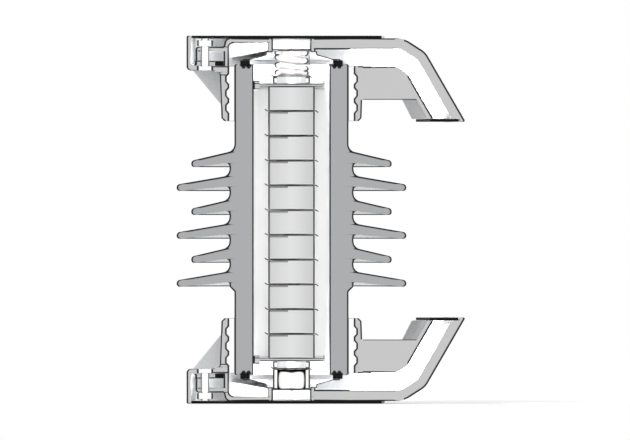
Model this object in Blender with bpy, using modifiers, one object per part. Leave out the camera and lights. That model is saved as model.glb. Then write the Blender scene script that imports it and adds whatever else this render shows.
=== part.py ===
"""Porcelain-housed surge arrester with a venting duct at each end, in metres, +Z up.

The origin is on the axis, at the face that the lower end stands on. The ducts point towards +X.
The lower end is modelled in place, and the upper end is the same castings turned over.
"""

import math

import bmesh
import bpy
from mathutils import Matrix

# Clearance between pieces that touch, and how far tools run past what they cut
GAP = 0.0003
OVERRUN = 0.0040

# Zinc oxide stack
BLOCK_COUNT = 11
BLOCK_RADIUS = 0.0290
BLOCK_HEIGHT = 0.0292
BLOCK_BEVEL = 0.0008
SHEET_THICKNESS = 0.0012
SHEET_WIDTH = 0.0340
SHEET_BEND_LENGTH = 0.0026
SHEET_BEND_RISE = 0.0020

# End plates that centre the stack in the bore
PLATE_WEB = 0.0036
PLATE_PLAY = 0.0016
PLATE_RIM_HEIGHT = 0.0104
PLATE_RIM_WIDTH = 0.0032
PLATE_FLAT_CUT = 0.0094
PLATE_FLATS = 3

# Pieces that load the stack
SEAT_RING_RADIUS = 0.0231
SEAT_RING_WALL = 0.0052
SEAT_RING_HEIGHT = 0.0081
STRIP_WIDTH = 0.0080
STRIP_THICKNESS = 0.0008
SPRING_STEP = 0.0057
SPRING_WIRE = 0.0080
SPRING_LENGTH = 0.0291
SPRING_PITCH = 0.0098
TUBE_HEIGHT = 0.0244
BAG_PLAY = 0.0012
BAG_CREASE = 0.0020
BAG_HEAD_ROOM = 0.0030

# Porcelain
BORE_RADIUS = 0.0491
PORCELAIN_WALL = 0.0222
TRUNK_SWELL = 0.0062
SMALL_SHED_OVERHANG = 0.0478
LARGE_SHED_OVERHANG = 0.0661
SHED_PAIRS = 3
SHED_PAIR_PITCH = 0.0599
SMALL_ABOVE_LARGE = 0.0297
SHEDS_BELOW_MIDDLE = 0.0042
SHED_ROOT_RISE = 0.0144
SHED_TIP_RISE = 0.0031
SHED_TIP_DROP = 0.0053
SHED_UNDER_RISE = 0.0010
SHED_ROOT_ROUND = 0.0100
SHED_TIP_ROUND = 0.0040
SHED_UNDER_ROUND = 0.0040
PORCELAIN_CHAMFER = 0.0010

# Sealing ring and sealing cover
RING_STEP = 0.0089
RING_WIDTH = 0.0122
RING_BODY = 0.0070
RING_RECESS = 0.0022
RING_LEG_SPREAD = 0.0062
RING_LEG_WIDTH = 0.0038
RING_LEG_DEPTH = 0.0029
RING_NOTCH = 0.0011
SEAL_SHEET = 0.0012
CONE_RISE = 0.0058
CONE_RUN = 0.0205
LIP_STEP = 0.0040
CENTRE_STEP = 0.0025
DIMPLE_RADIUS = 0.0028
DIMPLE_DEPTH = 0.0012

# Flange casting with its duct floor
CEMENT_THICKNESS = 0.0087
KEY_DEPTH = 0.0031
KEY_COUNT = 3
KEY_PITCH = 0.0180
KEY_WIDTH = 0.0070
KEY_FLANK = 0.0037
KEY_START = 0.0090
COLLAR_WALL = 0.0065
COLLAR_TAPER = 0.0020
COLLAR_HEIGHT = 0.0632
COLLAR_CHAMFER = 0.0036
COLLAR_ROOT_ROUND = 0.0090
COLLAR_ROOT_RISE = 0.0016
FLANGE_WALL = 0.0057
SEAT_LEDGE = 0.0031
PORCELAIN_PROUD = 0.0020
RIM_WALL = 0.0055
RIM_GROOVE_WIDTH = 0.0057
RIM_CORNER = 0.0050
RIM_ROUND = 0.0018
FLOOR_WALL = 0.0060
FLOOR_DROP = 0.0010
FLOOR_RUN = 0.0138
WEB_THICKNESS = 0.0060
WEB_REACH = 0.0366
GUSSET_THICKNESS = 0.0050
GUSSET_RISE = 0.0440
GUSSET_INSET = 0.0055
GUSSET_ANGLE = math.radians(12)

# Bolts and gasket
BOLT_ANGLES = tuple(math.radians(a) for a in (60, 120, 180, 240, 300))
BOLT_DIAMETER = 0.0100
BOLT_OFFSET = 0.0122
BOLT_STICK_OUT = 0.0019
BOLT_END_PLAY = 0.0006
HOLE_PLAY = 0.0005
NUT_ACROSS_FLATS = 0.0170
NUT_HEIGHT = 0.0080
HEAD_HEIGHT = 0.0057
POCKET_PLAY = 0.0012
GASKET_WIDTH = 0.0105
GASKET_HEIGHT = 0.0059

# Duct casting
COVER_THICKNESS = 0.0030
COVER_PLAY = 0.0006
COVER_FLAT_CUT = 0.0125
BELL_TOP = 0.0051
BELL_WALL = 0.0048
BELL_SHOULDER = 0.0094
BELL_SHOULDER_ROUND = 0.0060
BOLT_PLATE = 0.0054
SKIRT_WALL = 0.0061
SKIRT_HEIGHT = 0.0121
SKIRT_CHAMFER = 0.0030
LIP_PLAY = 0.0019
LIP_WALL = 0.0050
LIP_ROUND = 0.0030
BELL_RIB = 0.0050
BELL_RIB_SLOPE = 0.0099
BELL_RIB_ANGLES = tuple(math.radians(a) for a in (80, 120, 160, 200, 240, 280))
DUCT_HALF_ANGLE = math.radians(26)
DUCT_SIDE_ANGLE = math.radians(2)
BAY_PLAY_ANGLE = math.radians(1)
BAY_ANGLE = DUCT_HALF_ANGLE + BAY_PLAY_ANGLE
ROOF_AHEAD = 0.0095
ROOF_RUN = 0.0270
DUCT_RIB = 0.0060
DUCT_RIB_DEPTH = 0.0080
SHOULDER_ANGLE = math.radians(33)
LEG_ANGLE = math.radians(60)
OUTLET_DROP = 0.0030
OUTLET_LIP = 0.0040
INDICATOR_THICKNESS = 0.0033
INDICATOR_SEAT = 0.0044
INDICATOR_PLAY_ANGLE = math.radians(0.3)

# Facets: of a full turn, of a swept sector, of a hole, and points of one coil of the spring
TURN = 24
SMALL_TURN = 16
SECTOR_STEPS = 8
HOLE_SIDES = 12
NUT_SIDES = 6
COIL_POINTS = 12

# Largest share of an edge that one rounded corner takes
ROUND_SHARE = 0.45
MERGE_DISTANCE = 0.00005
SMOOTH_ANGLE = math.radians(32)

# Radii, worked outwards from the bore and from the seat ring
RING_RADIUS = BORE_RADIUS + RING_STEP
LIP_RADIUS = SEAT_RING_RADIUS + LIP_PLAY
SPRING_RADIUS = SEAT_RING_RADIUS - SPRING_STEP
TRUNK_END_R = BORE_RADIUS + PORCELAIN_WALL
TRUNK_R = TRUNK_END_R + TRUNK_SWELL
COLLAR_BORE_R = TRUNK_END_R + CEMENT_THICKNESS
COLLAR_R = COLLAR_BORE_R + KEY_DEPTH + COLLAR_WALL
BELL_R = COLLAR_BORE_R + BELL_WALL
STEP_R = BELL_R + GASKET_WIDTH + 2 * GAP
BOLT_CIRCLE_R = STEP_R + BOLT_OFFSET
HOLE_R = BOLT_DIAMETER / 2 + HOLE_PLAY
SKIRT_IN_R = BOLT_CIRCLE_R + HOLE_R + GAP
SKIRT_R = SKIRT_IN_R + SKIRT_WALL
RIM_IN_R = SKIRT_R + RIM_GROOVE_WIDTH
RIM_R = RIM_IN_R + RIM_WALL
FLAT_RING_R = STEP_R + SEAT_LEDGE
ROOF_KNEE_R = RIM_R + ROOF_AHEAD

# Heights of the lower end, worked from the face that it stands on
BELL_Z = COVER_THICKNESS + GAP
BELL_IN_Z = BELL_Z + BELL_TOP
BOLT_END_Z = COVER_THICKNESS + BOLT_END_PLAY
NUT_SEAT_Z = BOLT_END_Z + BOLT_STICK_OUT + NUT_HEIGHT + GAP
PLATE_IN_Z = NUT_SEAT_Z + BOLT_PLATE
FACE_Z = PLATE_IN_Z + SKIRT_HEIGHT
SEAT_Z = FACE_Z + GASKET_HEIGHT + 2 * GAP
BACK_Z = SEAT_Z + FLANGE_WALL
COLLAR_END_Z = BACK_Z + COLLAR_HEIGHT
PORCELAIN_Z = SEAT_Z - PORCELAIN_PROUD
RECESS_Z = PORCELAIN_Z + RING_RECESS
RING_BASE_Z = RECESS_Z - GAP
RING_FACE_Z = RING_BASE_Z - RING_BODY
COVER_RIM_Z = RING_FACE_Z - GAP - SEAL_SHEET
CONE_TOP_Z = COVER_RIM_Z - CONE_RISE
LIP_SEAT_Z = CONE_TOP_Z - LIP_STEP
CENTRE_Z = LIP_SEAT_Z - CENTRE_STEP
STACK_BASE_Z = CENTRE_Z + SEAL_SHEET + GAP
FLOOR_Z = SEAT_Z + FLOOR_DROP
WEB_END_Z = BACK_Z + WEB_REACH
OUTLET_Z = COLLAR_END_Z - OUTLET_DROP

# Heights inside the housing, stacked upwards
TUBE_Z = STACK_BASE_Z
BASE_SHEET_Z = TUBE_Z + TUBE_HEIGHT + GAP
BASE_RING_Z = BASE_SHEET_Z + SHEET_THICKNESS + GAP
BASE_PLATE_Z = BASE_RING_Z + SEAT_RING_HEIGHT + GAP
FIRST_BLOCK_Z = BASE_PLATE_Z + PLATE_WEB + GAP
BLOCK_PITCH = BLOCK_HEIGHT + SHEET_THICKNESS + 2 * GAP
TOP_PLATE_Z = FIRST_BLOCK_Z + BLOCK_COUNT * BLOCK_PITCH - SHEET_THICKNESS - GAP
TOP_RING_Z = TOP_PLATE_Z + PLATE_WEB + GAP
PAD_Z = TOP_RING_Z + SEAT_RING_HEIGHT + GAP
STRIP_Z = PAD_Z + SHEET_THICKNESS + GAP
SPRING_Z = STRIP_Z + STRIP_THICKNESS + GAP
TAB_Z = SPRING_Z + SPRING_LENGTH + GAP
TOTAL_HEIGHT = TAB_Z + STRIP_THICKNESS + STACK_BASE_Z

# Colour, metallic and roughness of each material
FINISHES = {
    "cast_aluminium": ((0.62, 0.63, 0.65), 0.9, 0.40),
    "grey_porcelain": ((0.42, 0.43, 0.44), 0.0, 0.25),
    "cement": ((0.80, 0.79, 0.76), 0.0, 0.90),
    "black_rubber": ((0.02, 0.02, 0.02), 0.0, 0.75),
    "dark_steel_sheet": ((0.08, 0.08, 0.09), 0.8, 0.45),
    "stainless_sheet": ((0.62, 0.62, 0.62), 0.9, 0.30),
    "galvanised_steel": ((0.68, 0.69, 0.70), 0.9, 0.40),
    "spring_steel": ((0.72, 0.72, 0.72), 0.9, 0.30),
    "copper": ((0.72, 0.38, 0.24), 0.9, 0.35),
    "aluminium": ((0.74, 0.75, 0.76), 0.9, 0.35),
    "zinc_oxide": ((0.60, 0.61, 0.61), 0.0, 0.60),
    "bag_cloth": ((0.85, 0.84, 0.80), 0.0, 0.90),
}


def clear_scene():
    for obj in list(bpy.data.objects):
        bpy.data.objects.remove(obj)


def new_collection(name):
    collection = bpy.data.collections.new(name)
    bpy.context.scene.collection.children.link(collection)
    return collection


def finish_of(name):
    material = bpy.data.materials.get(name)
    if material:
        return material
    colour, metallic, roughness = FINISHES[name]
    material = bpy.data.materials.new(name)
    material.use_nodes = True
    shader = material.node_tree.nodes["Principled BSDF"]
    shader.inputs["Base Color"].default_value = (*colour, 1)
    shader.inputs["Metallic"].default_value = metallic
    shader.inputs["Roughness"].default_value = roughness
    return material


def filleted(outline):
    """Outline of (r, z, round, steps) corners, each rounded corner turned into an arc of points."""
    points = []
    for i, (x, z, radius, steps) in enumerate(outline):
        if not steps:
            points.append((x, z))
            continue
        before, after = outline[i - 1], outline[(i + 1) % len(outline)]
        ux, uz = before[0] - x, before[1] - z
        vx, vz = after[0] - x, after[1] - z
        ul, vl = math.hypot(ux, uz), math.hypot(vx, vz)
        ux, uz, vx, vz = ux / ul, uz / ul, vx / vl, vz / vl
        half = math.acos(max(-1, min(1, ux * vx + uz * vz))) / 2
        back = min(radius / math.tan(half), ul * ROUND_SHARE, vl * ROUND_SHARE)
        radius = back * math.tan(half)
        bx, bz = ux + vx, uz + vz
        bl = math.hypot(bx, bz)
        cx, cz = x + bx / bl * radius / math.sin(half), z + bz / bl * radius / math.sin(half)
        start = math.atan2(z + uz * back - cz, x + ux * back - cx)
        turn = math.atan2(z + vz * back - cz, x + vx * back - cx) - start
        turn = (turn + math.pi) % (2 * math.pi) - math.pi
        for s in range(steps + 1):
            angle = start + turn * s / steps
            points.append((cx + radius * math.cos(angle), cz + radius * math.sin(angle)))
    return points


def plain(*points):
    return [(x, z, 0, 0) for x, z in points]


def link(name, mesh, collection, finish=None):
    obj = bpy.data.objects.new(name, mesh)
    collection.objects.link(obj)
    if finish:
        mesh.materials.clear()
        mesh.materials.append(finish_of(finish))
    return obj


def turned(name, outline, collection, finish=None, steps=TURN, closed=True):
    """A profile of (r, z) points, down its outer side and up its inner side, swept once round the axis."""
    mesh = bpy.data.meshes.new(name)
    edges = [(i, i + 1) for i in range(len(outline) - 1)]
    if closed:
        edges.append((len(outline) - 1, 0))
    mesh.from_pydata([(r, 0, z) for r, z in outline], edges, [])
    obj = link(name, mesh, collection, finish)
    screw = obj.modifiers.new("Turn", "SCREW")
    screw.axis = "Z"
    screw.steps = screw.render_steps = steps
    screw.use_merge_vertices = True
    screw.merge_threshold = MERGE_DISTANCE
    screw.use_smooth_shade = True
    return obj


def sector(name, outline, collection, half_angle, centre=0.0, finish=None, steps=SECTOR_STEPS):
    """A flat outline in (r, z), swept round the axis to half_angle on each side of centre."""
    shape = bmesh.new()
    face = shape.faces.new([shape.verts.new((r, 0, z)) for r, z in outline])
    shape.transform(Matrix.Rotation(centre - half_angle, 4, "Z"))
    whole = shape.verts[:] + shape.edges[:] + [face]
    bmesh.ops.spin(shape, geom=whole, axis=(0, 0, 1), cent=(0, 0, 0), angle=2 * half_angle, steps=steps)
    bmesh.ops.recalc_face_normals(shape, faces=shape.faces[:])
    mesh = bpy.data.meshes.new(name)
    shape.to_mesh(mesh)
    shape.free()
    return link(name, mesh, collection, finish)


def slabs(name, outlines, collection, finish=None):
    """Flat plates: each (outline in (r, z), thickness, angle) stands on a half plane through the axis."""
    shape = bmesh.new()
    for outline, thickness, angle in outlines:
        face = shape.faces.new([shape.verts.new((r, -thickness / 2, z)) for r, z in outline])
        grown = bmesh.ops.extrude_face_region(shape, geom=[face])["geom"]
        moved = [item for item in grown if isinstance(item, bmesh.types.BMVert)]
        bmesh.ops.translate(shape, verts=moved, vec=(0, thickness, 0))
        bmesh.ops.rotate(shape, verts=list(face.verts) + moved, matrix=Matrix.Rotation(angle, 3, "Z"))
    bmesh.ops.recalc_face_normals(shape, faces=shape.faces[:])
    mesh = bpy.data.meshes.new(name)
    shape.to_mesh(mesh)
    shape.free()
    return link(name, mesh, collection, finish)


def rods(name, places, collection, finish=None):
    """Upright cylinders or prisms: each is (x, y, radius, sides, low z, high z)."""
    shape = bmesh.new()
    for x, y, radius, sides, low, high in places:
        turn = Matrix.Rotation(math.atan2(y, x) + math.pi / sides, 4, "Z")
        bmesh.ops.create_cone(
            shape, cap_ends=True, segments=sides, radius1=radius, radius2=radius, depth=high - low,
            matrix=Matrix.Translation((x, y, (low + high) / 2)) @ turn,
        )
    mesh = bpy.data.meshes.new(name)
    shape.to_mesh(mesh)
    shape.free()
    return link(name, mesh, collection, finish)


def combine(obj, tools, operation):
    for tool in tools:
        tool.hide_render = True
        tool.display_type = "WIRE"
        step = obj.modifiers.new(tool.name, "BOOLEAN")
        step.operation = operation
        step.solver = "EXACT"
        step.object = tool


def settle(obj, finish=None):
    """Turns an object's modifiers into its mesh, so that its copies can share that mesh."""
    bpy.context.view_layer.update()
    done = obj.evaluated_get(bpy.context.evaluated_depsgraph_get())
    mesh = bpy.data.meshes.new_from_object(done)
    mesh.name = obj.name
    obj.modifiers.clear()
    obj.data = mesh
    if finish:
        mesh.materials.clear()
        mesh.materials.append(finish_of(finish))
    for polygon in mesh.polygons:
        polygon.use_smooth = True
    mesh.set_sharp_from_angle(angle=SMOOTH_ANGLE)
    return obj


def both_ends(obj, collection, finish):
    """Settles the lower end's piece and adds the same piece, turned over, at the upper end."""
    settle(obj, finish)
    upper = link(obj.name.replace("lower", "upper"), obj.data, collection)
    upper.rotation_euler = (math.pi, 0, 0)
    upper.location = (0, 0, TOTAL_HEIGHT)


def duct_line(knee_r, flat_z, run, end_z, inset=0.0):
    """The two knees and the end of a duct wall, inset at right angles towards the axis side."""
    first_r = knee_r - inset * math.tan(SHOULDER_ANGLE / 2)
    first_z = flat_z + inset
    middle, half = (SHOULDER_ANGLE + LEG_ANGLE) / 2, (LEG_ANGLE - SHOULDER_ANGLE) / 2
    second_r = knee_r + run - inset * math.sin(middle) / math.cos(half)
    second_z = flat_z + run * math.tan(SHOULDER_ANGLE) + inset * math.cos(middle) / math.cos(half)
    end_r = second_r + (end_z - second_z) / math.tan(LEG_ANGLE)
    return [(first_r, first_z), (second_r, second_z), (end_r, end_z)]


def floor_line(inset=0.0, end_z=OUTLET_Z):
    return duct_line(RIM_R, FLOOR_Z, FLOOR_RUN, end_z, inset)


def roof_line(inset=0.0, end_z=OUTLET_Z):
    return duct_line(ROOF_KNEE_R, BELL_Z, ROOF_RUN, end_z, inset)


def shed_outline(root_r, tip_r, tip_z):
    """One shed from its upper root to its lower root, as corners to be rounded."""
    slope = (SHED_ROOT_RISE - SHED_TIP_RISE) / (tip_r - TRUNK_R)
    return [
        (root_r, tip_z + SHED_ROOT_RISE + (TRUNK_R - root_r) * slope, SHED_ROOT_ROUND, 1),
        (tip_r, tip_z + SHED_TIP_RISE, SHED_TIP_ROUND, 1),
        (tip_r, tip_z - SHED_TIP_DROP, SHED_TIP_ROUND, 1),
        (TRUNK_R, tip_z + SHED_UNDER_RISE, SHED_UNDER_ROUND, 1),
    ]


def ring_seat(end_z, way):
    """The end face of the porcelain from the outer edge to the bore, with the recess of the sealing ring."""
    inner, outer = RING_RADIUS - RING_WIDTH / 2 - GAP, RING_RADIUS + RING_WIDTH / 2 + GAP
    base, tip = end_z + way * RING_RECESS, end_z + way * (RING_RECESS + RING_LEG_DEPTH + GAP)
    half_leg = RING_LEG_WIDTH / 2 + GAP
    face = [(TRUNK_END_R, end_z + way * PORCELAIN_CHAMFER), (TRUNK_END_R - PORCELAIN_CHAMFER, end_z)]
    face += [(outer, end_z), (outer, base)]
    for leg in (RING_RADIUS + RING_LEG_SPREAD / 2, RING_RADIUS - RING_LEG_SPREAD / 2):
        face += [(min(outer - GAP, leg + half_leg), base), (leg, tip)]
        face += [(max(inner + GAP, leg - half_leg), base)]
    return plain(*face, (inner, base), (inner, end_z), (BORE_RADIUS, end_z))


def build_porcelain(parts):
    top_z = TOTAL_HEIGHT - PORCELAIN_Z
    sheds = (SHED_PAIRS - 1) * SHED_PAIR_PITCH + SMALL_ABOVE_LARGE
    lowest = TOTAL_HEIGHT / 2 - SHEDS_BELOW_MIDDLE - sheds / 2
    outline = list(reversed(ring_seat(top_z, -1)))
    for pair in reversed(range(SHED_PAIRS)):
        large_z = lowest + pair * SHED_PAIR_PITCH
        root_r = TRUNK_END_R if pair == SHED_PAIRS - 1 else TRUNK_R
        outline += shed_outline(root_r, TRUNK_R + SMALL_SHED_OVERHANG, large_z + SMALL_ABOVE_LARGE)
        outline += shed_outline(TRUNK_R, TRUNK_R + LARGE_SHED_OVERHANG, large_z)
    swell_z = lowest - SHED_UNDER_ROUND
    outline += plain((TRUNK_R, swell_z), (TRUNK_END_R, swell_z - TRUNK_SWELL))
    outline += ring_seat(PORCELAIN_Z, 1)
    obj = turned("porcelain_housing", filleted(outline), parts)
    settle(obj, "grey_porcelain")


def keyed_bore(inset=0.0):
    """The collar's bore with its cement keys, from the seat upwards."""
    points = [(COLLAR_BORE_R - inset, SEAT_Z)]
    for key in range(KEY_COUNT):
        start = SEAT_Z + KEY_START + key * KEY_PITCH
        deep = COLLAR_BORE_R + KEY_DEPTH - inset
        points += [(COLLAR_BORE_R - inset, start), (deep, start + KEY_FLANK)]
        points += [(deep, start + KEY_FLANK + KEY_WIDTH)]
        points += [(COLLAR_BORE_R - inset, start + 2 * KEY_FLANK + KEY_WIDTH)]
    return points + [(COLLAR_BORE_R - inset, COLLAR_END_Z)]


def bolt_places(radius, sides, low, high):
    places = [(BOLT_CIRCLE_R * math.cos(a), BOLT_CIRCLE_R * math.sin(a)) for a in BOLT_ANGLES]
    return [(x, y, radius, sides, low, high) for x, y in places]


def bay_cutter(name, tools):
    """The wedge that keeps the rim, the bolting face and the gasket out of the duct's bay."""
    inner, outer = BELL_R - OVERRUN, RIM_R + OVERRUN
    high = BACK_Z + OVERRUN
    outline = [(inner, -OVERRUN), (outer, -OVERRUN), (outer, high), (inner, high)]
    return sector(name, outline, tools, BAY_ANGLE)


def build_flange(parts, tools):
    end_r = COLLAR_R - COLLAR_TAPER
    collar = plain((end_r - COLLAR_CHAMFER, COLLAR_END_Z), (end_r, COLLAR_END_Z - COLLAR_CHAMFER))
    collar += [(COLLAR_R, BACK_Z + COLLAR_ROOT_RISE, COLLAR_ROOT_ROUND, 2)]
    collar += plain((FLAT_RING_R, BACK_Z + COLLAR_ROOT_RISE), (FLAT_RING_R, SEAT_Z), *keyed_bore())
    obj = turned("lower_flange", filleted(collar), parts)

    groove_z = SEAT_Z - GAP
    groove_r = (SKIRT_R + RIM_IN_R) / 2
    block = [(RIM_R, BACK_Z, RIM_CORNER, 2), (RIM_R, 0, RIM_ROUND, 1), (RIM_IN_R, 0, RIM_ROUND, 1)]
    block += plain((RIM_IN_R, groove_z - RIM_GROOVE_WIDTH / 2), (groove_r, groove_z))
    block += plain((SKIRT_R, groove_z - RIM_GROOVE_WIDTH / 2), (SKIRT_R, FACE_Z), (STEP_R, FACE_Z))
    block += plain((STEP_R, BACK_Z))
    rim = turned("tool_rim", filleted(block), tools)
    combine(rim, [bay_cutter("tool_flange_bay", tools)], "DIFFERENCE")

    floor = [(STEP_R, FLOOR_Z), *floor_line(), *reversed(floor_line(FLOOR_WALL))]
    floor += [(STEP_R, FLOOR_Z + FLOOR_WALL)]
    duct = sector("tool_duct_floor", floor, tools, BAY_ANGLE + BAY_PLAY_ANGLE)

    web = [(COLLAR_R - COLLAR_WALL / 2, FLOOR_Z + FLOOR_WALL / 2), *floor_line(FLOOR_WALL / 2, WEB_END_Z)]
    plates = [(web + [(COLLAR_R - COLLAR_WALL / 2, WEB_END_Z)], WEB_THICKNESS, 0)]
    top_z, foot_r = BACK_Z + GUSSET_RISE, RIM_R - GUSSET_INSET
    foot_z = (SEAT_Z + BACK_Z) / 2
    gusset = [(COLLAR_R - COLLAR_WALL / 2, foot_z), (foot_r, foot_z), (foot_r, BACK_Z + GAP)]
    gusset += [(COLLAR_R - COLLAR_TAPER / 2, top_z), (COLLAR_R - COLLAR_WALL / 2, top_z)]
    for angle in BOLT_ANGLES:
        plates += [(gusset, GUSSET_THICKNESS, angle + side * GUSSET_ANGLE) for side in (-1, 1)]
    combine(obj, [rim, duct, slabs("tool_gussets", plates, tools)], "UNION")

    pocket_z = BACK_Z - HEAD_HEIGHT - GAP
    pocket_r = NUT_ACROSS_FLATS / math.sqrt(3) + POCKET_PLAY / 2
    holes = rods("tool_flange_holes", bolt_places(HOLE_R, HOLE_SIDES, FACE_Z - OVERRUN, BACK_Z), tools)
    pockets = rods("tool_head_pockets", bolt_places(pocket_r, HOLE_SIDES, pocket_z, BACK_Z + OVERRUN), tools)
    combine(obj, [holes, pockets], "DIFFERENCE")
    both_ends(obj, parts, "cast_aluminium")


def build_cement(parts):
    outline = [(r, min(max(z, SEAT_Z + GAP), COLLAR_END_Z - GAP)) for r, z in keyed_bore(GAP)]
    inner = TRUNK_END_R + GAP
    outline = list(reversed(outline)) + [(inner, SEAT_Z + GAP), (inner, COLLAR_END_Z - GAP)]
    both_ends(turned("lower_cement", outline, parts), parts, "cement")


def build_duct_casting(parts, tools):
    wall_end = SEAT_Z - GAP
    outline = plain((BELL_R, wall_end), (BELL_R, PLATE_IN_Z), (SKIRT_IN_R, PLATE_IN_Z))
    outline += plain((SKIRT_IN_R, FACE_Z - GAP), (SKIRT_R - GAP, FACE_Z - GAP))
    outline += [(SKIRT_R - GAP, NUT_SEAT_Z, SKIRT_CHAMFER, 1), (BELL_R, NUT_SEAT_Z, 0, 0)]
    outline += [(BELL_R - BELL_SHOULDER / 4, BELL_Z, BELL_SHOULDER_ROUND, 2)]
    outline += [(LIP_RADIUS, BELL_Z, LIP_ROUND, 2), *plain((LIP_RADIUS, LIP_SEAT_Z - GAP))]
    outline += plain((LIP_RADIUS + LIP_WALL, LIP_SEAT_Z - GAP), (LIP_RADIUS + LIP_WALL, BELL_IN_Z))
    outline += [(COLLAR_BORE_R, BELL_IN_Z, BELL_SHOULDER_ROUND, 2), *plain((COLLAR_BORE_R, wall_end))]
    obj = turned("lower_vent_duct", filleted(outline), parts)

    mouth_z = OUTLET_Z + OUTLET_LIP
    inner_r = BELL_R - BELL_SHOULDER
    shell = [(inner_r, BELL_Z), *roof_line(end_z=mouth_z)]
    shell += [roof_line(BELL_TOP, mouth_z)[2], roof_line(BELL_TOP)[2]]
    shell += [*reversed(floor_line(-GAP)), (FLAT_RING_R + GAP, FLOOR_Z - GAP), (FLAT_RING_R + GAP, wall_end)]
    shell += [(BELL_R - BELL_WALL / 2, wall_end), (BELL_R - BELL_WALL / 2, BELL_IN_Z), (inner_r, BELL_IN_Z)]
    duct = sector("tool_duct_shell", shell, tools, DUCT_HALF_ANGLE)
    channel = [(inner_r, BELL_IN_Z), *roof_line(BELL_TOP, mouth_z + OVERRUN)]
    channel += [*reversed(floor_line(OVERRUN, mouth_z + OVERRUN)), (inner_r, FLOOR_Z + OVERRUN)]
    passage = sector("tool_channel", channel, tools, DUCT_HALF_ANGLE - DUCT_SIDE_ANGLE)
    combine(obj, [duct], "UNION")
    combine(obj, [passage], "DIFFERENCE")

    lip_r, mid_z = LIP_RADIUS + LIP_WALL / 2, BELL_Z + BELL_TOP / 2
    spine = [(lip_r, mid_z), *roof_line(BELL_TOP / 2), *reversed(roof_line(BELL_TOP + DUCT_RIB_DEPTH))]
    spine += [(lip_r, BELL_IN_Z + DUCT_RIB_DEPTH)]
    wall_r = COLLAR_BORE_R + BELL_WALL / 2
    rib_z = LIP_SEAT_Z - GAP - SEAL_SHEET
    rib = [(lip_r, mid_z), (wall_r - BELL_SHOULDER / 2, mid_z), (wall_r, PLATE_IN_Z)]
    rib += [(wall_r, rib_z + BELL_RIB_SLOPE), (lip_r, rib_z)]
    plates = [(spine, DUCT_RIB, 0)] + [(rib, BELL_RIB, angle) for angle in BELL_RIB_ANGLES]
    combine(obj, [slabs("tool_bell_ribs", plates, tools)], "UNION")
    holes = bolt_places(HOLE_R, HOLE_SIDES, NUT_SEAT_Z - OVERRUN, PLATE_IN_Z + OVERRUN)
    combine(obj, [rods("tool_duct_holes", holes, tools)], "DIFFERENCE")
    both_ends(obj, parts, "cast_aluminium")


def build_indicator(parts):
    outer_r = roof_line(BELL_TOP)[2][0] - 2 * GAP
    inner_r = floor_line()[2][0] - INDICATOR_SEAT
    low = OUTLET_Z + GAP
    outline = [(inner_r, low), (outer_r, low), (outer_r, low + INDICATOR_THICKNESS)]
    outline += [(inner_r, low + INDICATOR_THICKNESS)]
    obj = sector("lower_indication_plate", outline, parts, DUCT_HALF_ANGLE - INDICATOR_PLAY_ANGLE)
    both_ends(obj, parts, "dark_steel_sheet")


def build_flange_cover(parts, tools):
    cover_r = RIM_IN_R - COVER_PLAY
    outline = [(0, COVER_THICKNESS), (cover_r, COVER_THICKNESS), (cover_r, 0), (0, 0)]
    obj = turned("lower_flange_cover", outline, parts, closed=False)
    edge = cover_r - COVER_FLAT_CUT
    far = cover_r + OVERRUN
    high = COVER_THICKNESS + OVERRUN
    flat = [(edge, -OVERRUN), (far, -OVERRUN), (far, high), (edge, high)]
    combine(obj, [slabs("tool_cover_edge", [(flat, 2 * far, 0)], tools)], "DIFFERENCE")
    both_ends(obj, parts, "dark_steel_sheet")


def build_sealing_cover(parts):
    """The pre-stressed cover: a dome inside the duct casting's lip, a ledge under the lip, and a cone."""
    dome_r, ledge_r = LIP_RADIUS - GAP, LIP_RADIUS + LIP_WALL + SEAL_SHEET
    rim_r = RING_RADIUS + RING_WIDTH / 4
    outer = [(0, CENTRE_Z - DIMPLE_DEPTH), (DIMPLE_RADIUS, CENTRE_Z), (dome_r - SEAL_SHEET, CENTRE_Z)]
    outer += [(dome_r, CENTRE_Z + SEAL_SHEET), (dome_r, LIP_SEAT_Z), (ledge_r, LIP_SEAT_Z)]
    outer += [(ledge_r + SEAL_SHEET, CONE_TOP_Z), (ledge_r + CONE_RUN, COVER_RIM_Z), (rim_r, COVER_RIM_Z)]
    inner = [(0, CENTRE_Z + SEAL_SHEET - DIMPLE_DEPTH), (DIMPLE_RADIUS, CENTRE_Z + SEAL_SHEET)]
    inner += [(dome_r - SEAL_SHEET, CENTRE_Z + SEAL_SHEET), (dome_r - SEAL_SHEET, LIP_SEAT_Z + SEAL_SHEET)]
    inner += [(ledge_r - SEAL_SHEET, LIP_SEAT_Z + SEAL_SHEET), (ledge_r, CONE_TOP_Z + SEAL_SHEET)]
    inner += [(ledge_r + CONE_RUN, COVER_RIM_Z + SEAL_SHEET), (rim_r, COVER_RIM_Z + SEAL_SHEET)]
    sheet = inner + outer[::-1]
    obj = turned("lower_sealing_cover", sheet, parts, closed=False)
    both_ends(obj, parts, "stainless_sheet")


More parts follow.
